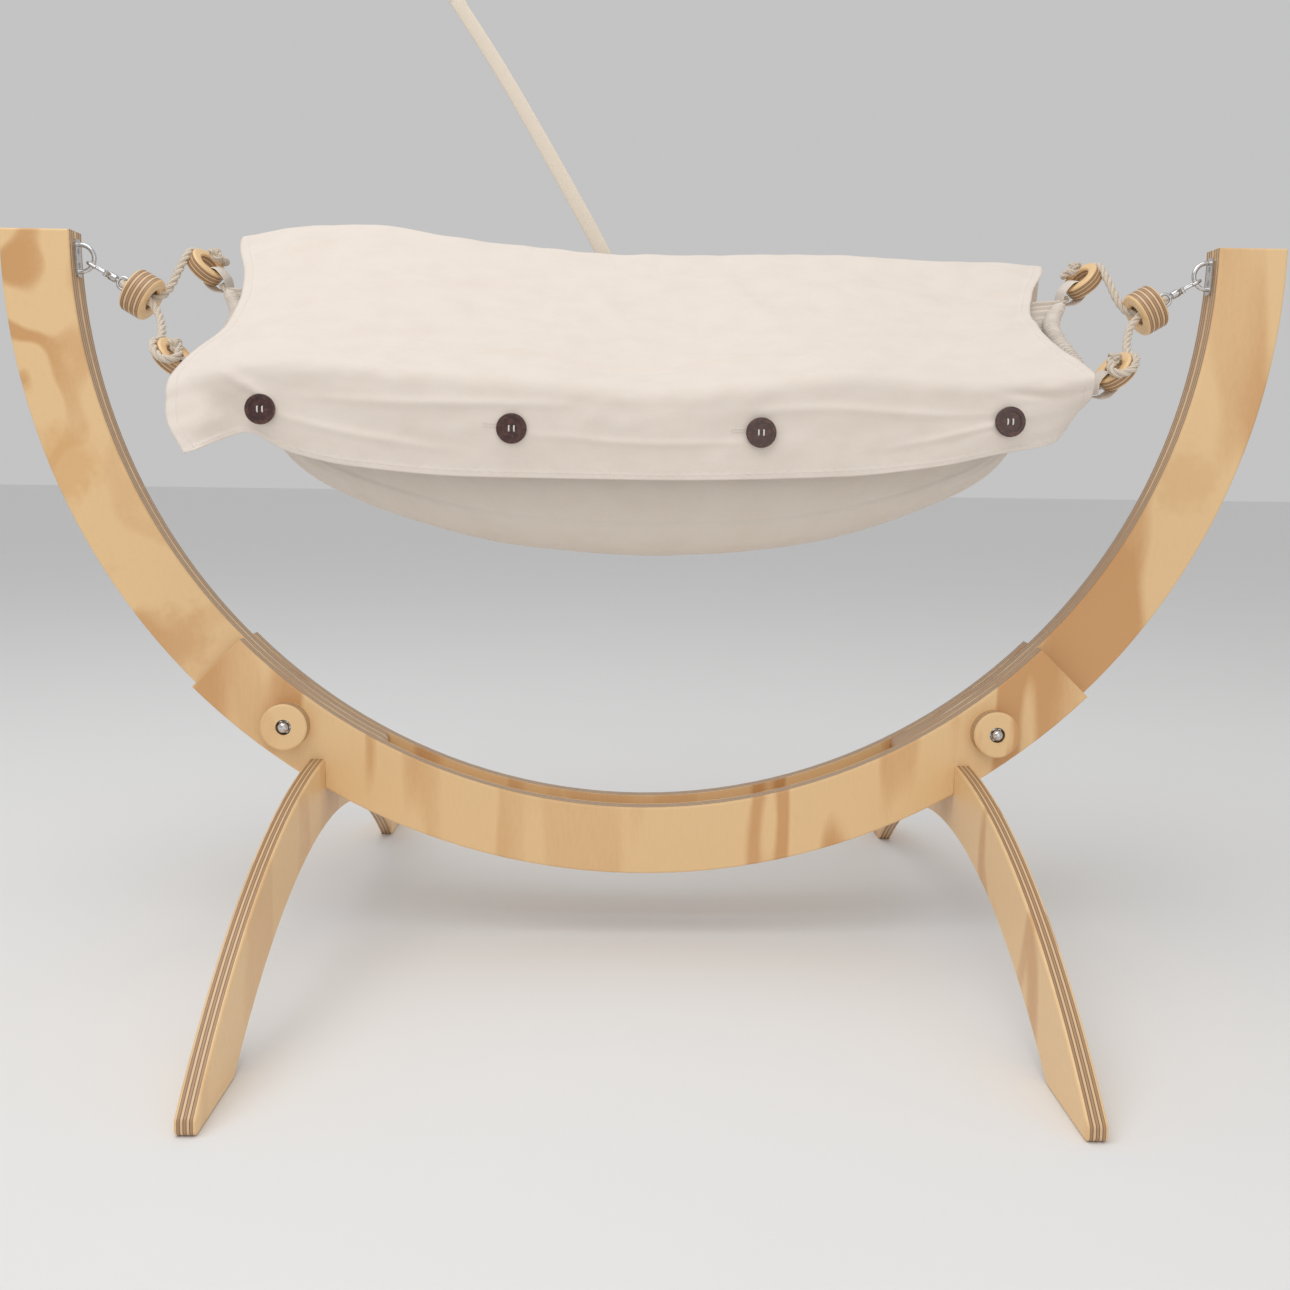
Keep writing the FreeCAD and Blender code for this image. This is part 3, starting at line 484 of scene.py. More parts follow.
def horn_button(name, colour):
    """Dark polished button with faint clouding."""
    def cloud(tree):
        return grainy(tree, own_position(tree), 160.0, 4.0, 0.6)

    def shade(tree):
        return tint(tree, ease(tree, cloud(tree), 0.4, 0.7), colour, (0.10, 0.035, 0.026, 1))

    def roughness(tree):
        return ease(tree, cloud(tree), 0.3, 0.8, 0.16, 0.34)

    finish, shader = new_finish(name, shade, roughness, cloud, 0.06, 0.0002)
    shader.inputs["Coat Weight"].default_value = 0.4
    return finish


def twine(name, colour):
    """Sewing thread."""
    def strands(tree):
        return grainy(tree, own_position(tree), 2600.0, 2.0, 0.7)

    def shade(tree):
        return tint(tree, ease(tree, strands(tree), 0.3, 0.7, 0.0, 0.5), colour, dimmed(colour, 0.75))

    return new_finish(name, shade, 0.75, strands, 0.4, 0.0002)[0]


# ---------------------------------------------------------------- mesh helpers


def finish_cad(names, finish):
    """Give CAD pieces a finish."""
    for name in names:
        slots = NODES[name].data.materials
        slots.clear()
        slots.append(finish)


def hang(piece, node=None):
    """Let a piece swing with the sling, in place of a CAD node where it stands for one."""
    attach(piece, "swing")
    if node:
        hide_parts(node)


def new_piece(name, vertices, faces, finish, smooth=True):
    """A mesh object at the origin."""
    mesh = bpy.data.meshes.new(name)
    mesh.from_pydata([tuple(v) for v in vertices], [], [tuple(f) for f in faces])
    mesh.update()
    mesh.materials.append(finish)
    if smooth:
        mesh.polygons.foreach_set("use_smooth", [True] * len(mesh.polygons))
    piece = bpy.data.objects.new(name, mesh)
    bpy.context.scene.collection.objects.link(piece)
    return piece


def map_cloth(piece, coordinates):
    """Lay the cloth's own map, in metres, over a piece: one pair for each vertex."""
    layer = piece.data.uv_layers.new(name="cloth")
    corners = np.zeros(len(piece.data.loops), np.int32)
    piece.data.loops.foreach_get("vertex_index", corners)
    layer.data.foreach_set("uv", np.asarray(coordinates, np.float32)[corners].ravel())


def smooth_through(knots, x):
    """A smooth curve through a few (place, value) pairs, flat beyond the ends."""
    places = [k[0] for k in knots]
    values = [k[1] for k in knots]
    if x <= places[0]:
        return values[0]
    if x >= places[-1]:
        return values[-1]
    i = max(j for j in range(len(places) - 1) if places[j] <= x)
    slopes = [(values[j + 1] - values[j]) / (places[j + 1] - places[j]) for j in range(len(places) - 1)]

    def tangent(j):
        if j == 0 or j == len(places) - 1:
            return slopes[min(j, len(slopes) - 1)]
        if slopes[j - 1] * slopes[j] <= 0:
            return 0.0
        return 2 * slopes[j - 1] * slopes[j] / (slopes[j - 1] + slopes[j])

    h = places[i + 1] - places[i]
    t = (x - places[i]) / h
    return ((2 * t ** 3 - 3 * t ** 2 + 1) * values[i] + (t ** 3 - 2 * t ** 2 + t) * h * tangent(i)
            + (3 * t ** 2 - 2 * t ** 3) * values[i + 1] + (t ** 3 - t ** 2) * h * tangent(i + 1))


def nurbs_path(name, points):
    """Points along the smooth curve whose control points are the route's."""
    curve = bpy.data.curves.new(name, "CURVE")
    curve.dimensions = "3D"
    curve.resolution_u = 12
    spline = curve.splines.new("NURBS")
    spline.points.add(len(points) - 1)
    for control, point in zip(spline.points, points):
        control.co = (*point, 1.0)
    spline.order_u = 3
    spline.use_endpoint_u = True
    holder = bpy.data.objects.new(name, curve)
    bpy.context.scene.collection.objects.link(holder)
    bpy.context.view_layer.update()
    line = bpy.data.meshes.new_from_object(holder.evaluated_get(bpy.context.evaluated_depsgraph_get()))
    path = [v.co.copy() for v in line.vertices]
    bpy.data.objects.remove(holder)
    bpy.data.meshes.remove(line)
    return path


def ribbon(name, path, widths, wide, thickness, finish):
    """Flat band along a path, with rounded edges; wide is the way its width lies at each end."""
    section = []
    for i in range(12):
        a = 2 * math.pi * i / 12
        across = math.copysign(abs(math.cos(a)) ** 0.35, math.cos(a)) if abs(math.cos(a)) > 1e-6 else 0.0
        section.append((across / 2, math.sin(a) * thickness / 2))
    vertices, places, faces = [], [], []
    run = 0.0
    for i, point in enumerate(path):
        ahead = (path[min(i + 1, len(path) - 1)] - path[max(i - 1, 0)]).normalized()
        f = i / (len(path) - 1)
        side = wide[0].lerp(wide[1], f)
        side = (side - ahead * side.dot(ahead)).normalized()
        normal = ahead.cross(side)
        width = widths[0] + (widths[1] - widths[0]) * f
        if i:
            run += (point - path[i - 1]).length
        for across, up in section:
            vertices.append(point + side * (across * width) + normal * up)
            places.append((across * width, run))
    n = len(section)
    for i in range(len(path) - 1):
        for j in range(n):
            a, b = i * n + j, i * n + (j + 1) % n
            faces.append((a, b, b + n, a + n))
    faces.append(tuple(reversed(range(n))))
    faces.append(tuple(range((len(path) - 1) * n, len(path) * n)))
    piece = new_piece(name, vertices, faces, finish)
    map_cloth(piece, places)
    return piece


def mirror_x(point, side):
    """A left-hand point, or its twin on the right."""
    return Vector((point[0] * (1 if side == "left" else -1), point[1], point[2]))


# ---------------------------------------------------------------- geometry node trees


def path_tree(name, step, **sizes):
    """A tree that follows a path of plain edges at even steps."""
    tree = bpy.data.node_groups.new(name, "GeometryNodeTree")
    tree.interface.new_socket("Geometry", in_out="INPUT", socket_type="NodeSocketGeometry")
    for key, default in sizes.items():
        label = key.replace("_", " ")
        socket = tree.interface.new_socket(label, in_out="INPUT", socket_type="NodeSocketFloat")
        socket.default_value = default
    tree.interface.new_socket("Finish", in_out="INPUT", socket_type="NodeSocketMaterial")
    tree.interface.new_socket("Geometry", in_out="OUTPUT", socket_type="NodeSocketGeometry")
    given = add_node(tree, "NodeGroupInput").outputs
    to_curve = add_node(tree, "GeometryNodeMeshToCurve")
    tree.links.new(given["Geometry"], to_curve.inputs["Mesh"])
    even = add_node(tree, "GeometryNodeResampleCurve", mode="LENGTH")
    tree.links.new(to_curve.outputs[0], even.inputs["Curve"])
    tree.links.new(given[step], even.inputs["Length"])
    return tree, given, even.outputs[0]


def rope_tree():
    """Three strands laid round a path."""
    tree, given, even = path_tree("Laid rope", "Step", Rope_radius=0.0045, Lay=0.03, Step=0.0012)
    run = add_node(tree, "GeometryNodeSplineParameter").outputs["Length"]
    along = add_node(tree, "GeometryNodeStoreNamedAttribute", data_type="FLOAT", domain="POINT")
    along.inputs["Name"].default_value = "along"
    tree.links.new(even, along.inputs["Geometry"])
    tree.links.new(run, along.inputs["Value"])
    normal = add_node(tree, "GeometryNodeInputNormal").outputs[0]
    tangent = add_node(tree, "GeometryNodeInputTangent").outputs[0]
    binormal = turn_vector(tree, "CROSS_PRODUCT", tangent, normal)
    twist = calc(tree, "DIVIDE", calc(tree, "MULTIPLY", run, 2 * math.pi), given["Lay"])
    circle = add_node(tree, "GeometryNodeCurvePrimitiveCircle", mode="RADIUS")
    circle.inputs["Resolution"].default_value = 10
    tree.links.new(calc(tree, "MULTIPLY", given["Rope radius"], 0.5), circle.inputs["Radius"])
    turn = calc(tree, "MULTIPLY", add_node(tree, "GeometryNodeInputIndex").outputs[0], 2 * math.pi / 10)
    direction = add_node(tree, "ShaderNodeCombineXYZ")
    tree.links.new(calc(tree, "COSINE", turn), direction.inputs[0])
    tree.links.new(calc(tree, "SINE", turn), direction.inputs[1])
    around = add_node(tree, "GeometryNodeStoreNamedAttribute", data_type="FLOAT_VECTOR", domain="POINT")
    around.inputs["Name"].default_value = "round"
    tree.links.new(circle.outputs[0], around.inputs["Geometry"])
    tree.links.new(direction.outputs[0], around.inputs["Value"])
    join = add_node(tree, "GeometryNodeJoinGeometry")
    for strand in range(3):
        angle = calc(tree, "ADD", twist, strand * 2 * math.pi / 3)
        offset = turn_vector(
            tree, "ADD",
            scaled(tree, normal, calc(tree, "MULTIPLY", calc(tree, "COSINE", angle), given["Rope radius"])),
            scaled(tree, binormal, calc(tree, "MULTIPLY", calc(tree, "SINE", angle), given["Rope radius"])))
        moved = add_node(tree, "GeometryNodeSetPosition")
        tree.links.new(along.outputs[0], moved.inputs["Geometry"])
        tree.links.new(scaled(tree, offset, 0.52), moved.inputs["Offset"])
        tube = add_node(tree, "GeometryNodeCurveToMesh")
        tube.inputs["Fill Caps"].default_value = True
        tree.links.new(moved.outputs[0], tube.inputs["Curve"])
        tree.links.new(around.outputs[0], tube.inputs["Profile Curve"])
        tree.links.new(tube.outputs[0], join.inputs[0])
    finish_tree(tree, join.outputs[0], given["Finish"])


def scaled(tree, vector, amount):
    """A vector times a number."""
    made = add_node(tree, "ShaderNodeVectorMath", operation="SCALE")
    feed(tree, made.inputs[0], vector)
    feed(tree, made.inputs["Scale"], amount)
    return made.outputs["Vector"]


def finish_tree(tree, geometry, finish):
    """Smooth shading, real geometry and the finish, at the end of a tree."""
    shade = add_node(tree, "GeometryNodeSetShadeSmooth")
    real = add_node(tree, "GeometryNodeRealizeInstances")
    coat = add_node(tree, "GeometryNodeSetMaterial")
    tree.links.new(geometry, real.inputs[0])
    tree.links.new(real.outputs[0], shade.inputs[0])
    tree.links.new(shade.outputs[0], coat.inputs[0])
    tree.links.new(finish, coat.inputs["Material"])
    tree.links.new(coat.outputs[0], add_node(tree, "NodeGroupOutput").inputs["Geometry"])


def stitch_tree():
    """Running stitches along a path."""
    tree, given, even = path_tree("Running stitch", "Pitch", Pitch=0.0036, Thread_radius=0.00035, Share=0.66)
    ball = add_node(tree, "GeometryNodeMeshUVSphere")
    ball.inputs["Segments"].default_value = 6
    ball.inputs["Rings"].default_value = 5
    ball.inputs["Radius"].default_value = 1.0
    size = add_node(tree, "ShaderNodeCombineXYZ")
    tree.links.new(given["Thread radius"], size.inputs[0])
    tree.links.new(given["Thread radius"], size.inputs[1])
    half = calc(tree, "MULTIPLY", calc(tree, "MULTIPLY", given["Pitch"], given["Share"]), 0.5)
    tree.links.new(half, size.inputs[2])
    aim = add_node(tree, "FunctionNodeAlignRotationToVector", axis="Z")
    tree.links.new(add_node(tree, "GeometryNodeInputTangent").outputs[0], aim.inputs["Vector"])
    laid = add_node(tree, "GeometryNodeInstanceOnPoints")
    tree.links.new(even, laid.inputs["Points"])
    tree.links.new(ball.outputs[0], laid.inputs["Instance"])
    tree.links.new(aim.outputs[0], laid.inputs["Rotation"])
    tree.links.new(size.outputs[0], laid.inputs["Scale"])
    finish_tree(tree, laid.outputs[0], given["Finish"])


def grow(name, tree_name, paths, finish, **sizes):
    """Run a geometry node tree over paths and keep its result as a plain mesh."""
    tree = bpy.data.node_groups[tree_name]
    vertices, edges = [], []
    for path in paths:
        first = len(vertices)
        vertices += [tuple(p) for p in path]
        edges += [(first + i, first + i + 1) for i in range(len(path) - 1)]
    mesh = bpy.data.meshes.new(name + "_path")
    mesh.from_pydata(vertices, edges, [])
    holder = bpy.data.objects.new(name + "_path", mesh)
    bpy.context.scene.collection.objects.link(holder)
    modifier = holder.modifiers.new("grow", "NODES")
    modifier.node_group = tree
    given = {item.name: item.identifier for item in tree.interface.items_tree if item.in_out == "INPUT"}
    for key, value in sizes.items():
        modifier[given[key.replace("_", " ")]] = value
    modifier[given["Finish"]] = finish
    bpy.context.view_layer.update()
    grown = bpy.data.meshes.new_from_object(holder.evaluated_get(bpy.context.evaluated_depsgraph_get()))
    grown.name = name
    holder.modifiers.remove(modifier)
    bpy.data.objects.remove(holder)
    if not grown.materials:
        grown.materials.append(finish)
    piece = bpy.data.objects.new(name, grown)
    bpy.context.scene.collection.objects.link(piece)
    return piece


# ---------------------------------------------------------------- the hanging gear's frame


def along_pull(u, y=0.0, n=0.0):
    """A point down the left suspension line from its hook, along Y, and square to both."""
    pull = Vector((math.cos(PULL_SLOPE), 0, -math.sin(PULL_SLOPE)))
    square = Vector((-pull.z, 0, pull.x))
    return HANG_POINT + pull * u + Vector((0, y, 0)) + square * n


def corner_frame(which):
    """Centre and axes of a left corner ring: towards its rope, along its rim, and out of its face."""
    rope_way = Vector((-math.cos(CORNER_TILT), 0, math.sin(CORNER_TILT)))
    level = math.sqrt(1 - CORNER_LEAN ** 2)
    facing = Vector((math.sin(CORNER_TILT) * level, -CORNER_LEAN, math.cos(CORNER_TILT) * level))
    return CORNERS[which], rope_way, facing.cross(rope_way), facing


def rim_point(which, angle, radius, height=0.0):
    """A point by a left corner ring, with the angle from the rim's front towards the rope's side."""
    centre, rope_way, rim_way, facing = corner_frame(which)
    a = math.radians(angle)
    return centre + rim_way * (radius * math.cos(a)) + rope_way * (radius * math.sin(a)) + facing * height


def rope_end(which):
    """The rope's route round a corner ring's rim and on to its face."""
    if which == "front":
        turns = (118, 68, 18)
        over = (-18, -36, 30)
    else:
        turns = (52, 102, 152)
        over = (188, 206, 150)
    spread = ROPE_LAY_R / math.cos(math.radians(25))
    points = [rim_point(which, angle, spread) for angle in turns]
    points.append(rim_point(which, over[0], ROPE_LAY_R + 4.5 * MM, 9 * MM))
    points.append(rim_point(which, over[1], ROPE_LAY_R - 8 * MM, 16.5 * MM))
    points.append(rim_point(which, over[2], 8 * MM, 15.5 * MM))
    return points


def suspension_route():
    """The left rope: back ring, hanging ring, the hook's eye, and out again to the front ring."""
    mouth = HANG_RING_AT + HANG_RING_T / 2 + 8 * MM
    turn = LINK_TURN_AT - ROPE_SPREAD
    middle = [along_pull(mouth, ROPE_SPREAD), along_pull(turn, ROPE_SPREAD),
              along_pull(turn, -ROPE_SPREAD), along_pull(mouth, -ROPE_SPREAD)]
    return rope_end("back")[::-1] + middle + rope_end("front")


def hem_route():
    """The left end hem, from the back corner ring round to the front one."""
    back = rim_point("back", -90, CORNER_RING_R + 4.5 * MM)
    front = rim_point("front", -90, CORNER_RING_R + 4.5 * MM)
    bend = [(-466, 42, 708), (-452, 14, 690), (-451, -14, 671), (-464, -42, 645)]
    return [back] + [Vector(p) * MM for p in bend] + [front]


def knot_line(which, end, side):
    """The line of an overhand knot at a rope's end."""
    _, rope_way, rim_way, facing = corner_frame(which)
    turns = []
    for i in range(49):
        a = 2 * math.pi * i / 48
        first = (math.sin(a) + 2 * math.sin(2 * a)) * 2.1 * MM
        second = (math.cos(a) - 2 * math.cos(2 * a)) * 2.1 * MM
        third = -math.sin(3 * a) * 2.6 * MM
        turns.append(mirror_x(end + rope_way * first + rim_way * second + facing * (third + 1 * MM), side))
    return turns


TAB_LOOP = [
    (-35, 2.5), (-29, 8.5), (-22, 11.4), (-12, 11.4), (-6.5, 8), (-6, 0), (-6.5, -8), (-12, -11.4),
    (-22, -11.4), (-29, -8.5), (-35, -2.5),
]


def ring_tab(which, side, finish):
    """One cloth tab, sewn to the casing and looped through a corner ring."""
    centre, rope_way, rim_way, facing = corner_frame(which)
    way = 1 if which == "back" else -1
    route = []
    for a, n in TAB_LOOP:
        slide = -way * 0.28 * max(0.0, -22 - a)
        point = centre + rope_way * (a * MM) + facing * (n * MM) + rim_way * (slide * MM)
        route.append(mirror_x(point, side))
    wide = mirror_x(rim_way, side)
    path = nurbs_path("tab_line", route)
    return ribbon(f"{side}_{which}_tab", path, (0.019, 0.019), (wide, wide), 1.5 * MM, finish)


# ---------------------------------------------------------------- cloth surfaces

# The cover along the hammock, in millimetres: (x, height) or (x, depth)
REAR_EDGE = [
    (-480, 797), (-400, 812), (-310, 812), (-234, 803), (-103, 788), (64, 784), (184, 787),
    (340, 783), (472, 777),
]
FOLD = [
    (-484, 606), (-451, 616), (-351, 628), (-250, 621), (-89, 610), (-7, 602), (114, 613),
    (205, 624), (318, 618), (460, 626),
]
FLAP_HEM = [
    (-470, 532), (-455, 536), (-408, 557), (-362, 537), (-300, 524), (-180, 515), (0, 514),
    (200, 520), (300, 532), (360, 545), (421, 558), (452, 590),
]
FLAP_DEPTH = [
    (-470, -156), (-448, -146), (-412, -112), (-380, -117), (-300, -120), (0, -121), (300, -120),
    (400, -114), (452, -92),
]
LEFT_END = [
    (0, -470), (0.16, -478), (0.32, -455), (0.44, -446), (0.52, -449), (0.62, -476), (0.70, -484),
    (0.82, -482), (1, -460),
]
RIGHT_END = [
    (0, 466), (0.16, 472), (0.3, 444), (0.42, 428), (0.52, 432), (0.62, 448), (0.70, 458),
    (0.86, 458), (1, 448),
]
REAR_DROP = 88
COVER_START = -484
COVER_SPAN = 942
COVER_WIDE = 920
COVER_DEEP = 560
BUTTON_FACE_Y = -128.2
BUTTON_MIDDLE = -10.5
BUTTON_PITCH = 253
# Creases in the cover: start and end as (x, share of the way from rear edge to flap hem), height, width
CREASES = [
    ((-470, 0.30), (-330, 0.19), 2.6, 13), ((-440, 0.55), (-250, 0.36), -3.0, 16),
    ((-400, 0.62), (-180, 0.50), 2.2, 12), ((-330, 0.42), (-120, 0.24), 2.4, 15),
    ((-250, 0.60), (-60, 0.56), 2.2, 9), ((-120, 0.62), (60, 0.60), -2.4, 9),
    ((-60, 0.30), (10, 0.58), 1.6, 12), ((90, 0.22), (150, 0.52), 1.8, 14),
    ((30, 0.56), (190, 0.62), 2.4, 10), ((230, 0.28), (330, 0.36), 2.4, 18),
    ((330, 0.30), (440, 0.34), -2.6, 15), ((300, 0.52), (450, 0.44), 2.2, 12),
    ((-455, 0.72), (-405, 0.97), -4.0, 14), ((-430, 0.70), (-380, 0.86), 2.5, 9),
    ((-330, 0.80), (-90, 0.76), 1.6, 9), ((-380, 0.88), (-200, 0.92), 1.4, 8),
    ((-130, 0.86), (120, 0.88), 1.2, 8), ((120, 0.78), (330, 0.82), 1.6, 9),
    ((250, 0.92), (380, 0.86), 1.6, 8), ((370, 0.74), (450, 0.80), -2.4, 10),
]


def rounded(points, radii, share):
    """The place at a share of the way along straight runs whose corners are rounded."""
    spans = [points[0]]
    pieces = []
    for i in range(1, len(points) - 1):
        into = (points[i] - points[i - 1]).normalized()
        on = (points[i + 1] - points[i]).normalized()
        start = points[i] - into * radii[i - 1]
        stop = points[i] + on * radii[i - 1]
        pieces.append(("run", spans[-1], start))
        pieces.append(("bend", start, points[i], stop))
        spans.append(stop)
    pieces.append(("run", spans[-1], points[-1]))
    lengths = [(p[-1] - p[1]).length for p in pieces]
    want = share * sum(lengths)
    for piece, length in zip(pieces, lengths):
        if want <= length or piece is pieces[-1]:
            t = min(1.0, max(0.0, want / max(length, 1e-9)))
            if piece[0] == "run":
                return piece[1].lerp(piece[2], t)
            return piece[1] * (1 - t) ** 2 + piece[2] * (2 * t * (1 - t)) + piece[3] * t ** 2
        want -= length
    return points[-1]


# Where the rear turn-down ends and the flap begins, as shares of the way across the cover
REAR_SHARE = 0.16
FLAP_SHARE = 0.70


def cover_place(u, v):
    """The cover's middle surface: u along the hammock, v from the rear hem over the top to the flap's hem."""
    left = smooth_through(LEFT_END, v)
    right = smooth_through(RIGHT_END, v)
    x = left + (right - left) * u
    rear = smooth_through(REAR_EDGE, x)
    fold = smooth_through(FOLD, x)
    hem = smooth_through(FLAP_HEM, x)
    depth = smooth_through(FLAP_DEPTH, x)
    points = [Vector((x, 127, rear - REAR_DROP)), Vector((x, 126, rear))]
    points += [Vector((x, -126, fold)), Vector((x, depth, hem))]
    lengths = [(b - a).length for a, b in zip(points, points[1:])]
    total = sum(lengths)
    cuts = (0, lengths[0] / total, (lengths[0] + lengths[1]) / total, 1)
    shares = (0, REAR_SHARE, FLAP_SHARE, 1)
    k = 0 if v < REAR_SHARE else (1 if v < FLAP_SHARE else 2)
    share = cuts[k] + (cuts[k + 1] - cuts[k]) * (v - shares[k]) / (shares[k + 1] - shares[k])
    place = rounded(points, (11, 13), share)
    if k == 1:
        s = (v - REAR_SHARE) / (FLAP_SHARE - REAR_SHARE)
        place.z -= 9 * math.sin(math.pi * s) * (1 - abs(x) / 900)
    if k == 2:
        w = (v - FLAP_SHARE) / (1 - FLAP_SHARE)
        place.y -= 2.4 * math.sin(math.pi * min(1, w * 1.05)) * max(0.0, 1 - abs(x) / 500)
        for i in range(4):
            button_x = BUTTON_MIDDLE + (i - 1.5) * BUTTON_PITCH
            button_z = 562 + 18 * (button_x / 390) ** 2
            near = math.exp(-((place.x - button_x) ** 2 + (place.z - button_z) ** 2) / 26 ** 2)
            place.y += (BUTTON_FACE_Y + 0.7 - place.y) * near
    return place


def cover_relief(u, v, place):
    """Height of the cover's creases and hems at a place, in millimetres."""
    height = 0.0
    for start, stop, rise, width in CREASES:
        ax, av = start
        bx, bv = stop
        dx, dv = bx - ax, (bv - av) * COVER_DEEP
        t = ((place.x - ax) * dx + (v - av) * COVER_DEEP * dv) / (dx * dx + dv * dv)
        t = min(1.15, max(-0.15, t))
        away = math.hypot(place.x - ax - dx * t, (v - av) * COVER_DEEP - dv * t)
        fade = max(0.0, math.sin(math.pi * (t + 0.15) / 1.3))
        height += 1.5 * rise * fade * math.exp(-(away / width) ** 2)
    broad = noise.noise(Vector((place.x / 95, v * 6.5, 3.1)))
    fine = noise.noise(Vector((place.x / 28 + v * 3, v * 17, 8.7)))
    return height + 3.0 * broad + 1.3 * fine


def grid_piece(name, columns, rows, place_at, relief_at, finish):
    """A sheet over a grid, raised along its own normals, with its map in metres."""
    spots = [[place_at(i / (columns - 1), j / (rows - 1)) for j in range(rows)] for i in range(columns)]
    vertices, maps = [], []
    for i in range(columns):
        for j in range(rows):
            u, v = i / (columns - 1), j / (rows - 1)
            ahead = spots[min(i + 1, columns - 1)][j] - spots[max(i - 1, 0)][j]
            across = spots[i][min(j + 1, rows - 1)] - spots[i][max(j - 1, 0)]
            normal = across.cross(ahead).normalized()
            vertices.append((spots[i][j] + normal * relief_at(u, v, spots[i][j])) * MM)
    for i in range(columns):
        run = 0.0
        for j in range(rows):
            if j:
                run += (spots[i][j] - spots[i][j - 1]).length
            maps.append((spots[i][j].x * MM, run * MM))
    faces = []
    for i in range(columns - 1):
        for j in range(rows - 1):
            a = i * rows + j
            faces.append((a, a + 1, a + rows + 1, a + rows))
    piece = new_piece(name, vertices, faces, finish)
    map_cloth(piece, maps)
    return piece


def thicken(piece, thickness, offset=-1.0):
    """Give a sheet its thickness."""
    wall = piece.modifiers.new("thickness", "SOLIDIFY")
    wall.thickness = thickness
    wall.offset = offset
    wall.use_even_offset = False


HEM_CURVE = {}


def sling_end_place(t, side):
    """A point on the end hem: t from 1 at the back ring to -1 at the front one."""
    if "path" not in HEM_CURVE:
        HEM_CURVE["path"] = nurbs_path("hem", hem_route())
    path = HEM_CURVE["path"]
    at = (1 - t) / 2 * (len(path) - 1)
    i = min(int(at), len(path) - 2)
    return mirror_x(path[i].lerp(path[i + 1], at - i), side) / MM


SLING_END = 434
SLING_SHARE = 0.91
SLING_LOW = 456
SLING_RISE = 110
END_RISE = 122
SEAM_SHARE = 0.83


def sling_place(u, v):
    """The sling's middle surface: u along the hammock, v from the back rim under to the front rim."""
    s = 2 * u - 1
    t = 1 - 2 * v
    k = min(1.0, abs(s) / SLING_SHARE)
    x = math.copysign(SLING_END * k, s)
    soft = k ** 3
    back = Vector((x, 112 - 60 * soft, 764 - 44 * soft))
    front = Vector((x, -112 + 60 * soft, 596 + 44 * soft))
    middle = (back + front) / 2
    low = SLING_LOW + SLING_RISE * k ** 2.2 + END_RISE * k ** 20
    depth = max(12.0, middle.z - low)
    across = math.copysign(abs(t) ** 0.85, t)
    place = middle + (back - middle) * across
    place.z -= depth * (1 - abs(t) ** 2.8)
    if abs(s) > SLING_SHARE:
        e = (abs(s) - SLING_SHARE) / (1 - SLING_SHARE)
        e = e * e * (3 - 2 * e)
        end = sling_end_place(t * 0.94, "left" if s < 0 else "right")
        inward = 1 if s < 0 else -1
        place = place.lerp(end + Vector((4 * inward, 0, 0)), e)
    return place


def sling_relief(u, v, place):
    """Gathers that fan out from the ends, the seam under the flap, and soft waves."""
    near_end = max(0.0, (abs(2 * u - 1) - 0.55) / 0.45)
    gathers = math.sin(v * 118 + 2.2 * math.sin(v * 23) + 0.8 * math.sin(u * 40))
    wide = math.sin(v * 41 + 1.7 * math.sin(v * 9) + 2.0)
    height = 2.4 * near_end ** 2.4 * gathers + 3.2 * near_end ** 1.2 * (1 - near_end) * wide * 2
    height += 1.3 / (1 + math.exp(-(v - SEAM_SHARE) * 700))
    broad = noise.noise(Vector((place.x / 120, v * 7, 5.5)))
    fine = noise.noise(Vector((place.x / 34, v * 19, 1.9)))
    return height + 2.0 * broad * (1 - near_end) + 0.5 * fine


def ends_casing(side, finish):
    """The gathered casing round one end's hem rope."""
    path = HEM_CURVE["path"]
    steps, turns = 420, 20
    vertices, maps, faces = [], [], []
    total = len(path) - 1
    for i in range(steps):
        f = 0.075 + 0.85 * i / (steps - 1)
        at = f * total
        k = min(int(at), total - 1)
        centre = path[k].lerp(path[k + 1], at - k)
        ahead = (path[min(k + 2, total)] - path[max(k - 1, 0)]).normalized()
        side_way = ahead.cross(Vector((0.9, 0, 0.44))).normalized()
        up_way = side_way.cross(ahead)
        end_taper = min(1.0, 0.62 + 0.38 * math.sin(math.pi * (i / (steps - 1))) ** 0.5)
        for j in range(turns):
            a = 2 * math.pi * j / turns
            lean = 0.9 * math.sin(a + 1.0) + 0.35 * math.sin(3 * a)
            fold = math.sin(f * 128 + lean + 1.4 * math.sin(f * 31))
            sharp = 1 - abs(fold) ** 0.7
            wobble = noise.noise(Vector((f * 40, math.cos(a) * 1.4, math.sin(a) * 1.4)))
            radius = (9.2 * end_taper - 2.3 * sharp + 0.9 * wobble) * MM
            stretch = 1.22 if math.cos(a) > 0 else 1.0
            spot = centre + up_way * (radius * stretch * math.cos(a)) + side_way * (radius * math.sin(a))
            vertices.append(mirror_x(spot, side))
            maps.append((f * 0.16, a * 0.009))
    for i in range(steps - 1):
        for j in range(turns):
            a, b = i * turns + j, i * turns + (j + 1) % turns
            quad = (a, b, b + turns, a + turns)
            faces.append(quad if side == "left" else quad[::-1])
    first, last = tuple(range(turns)), tuple(range((steps - 1) * turns, steps * turns))
    faces.append(first[::-1] if side == "left" else first)
    faces.append(last if side == "left" else last[::-1])
    piece = new_piece(side + "_gathered_casing", vertices, faces, finish)
    map_cloth(piece, maps)
    return piece


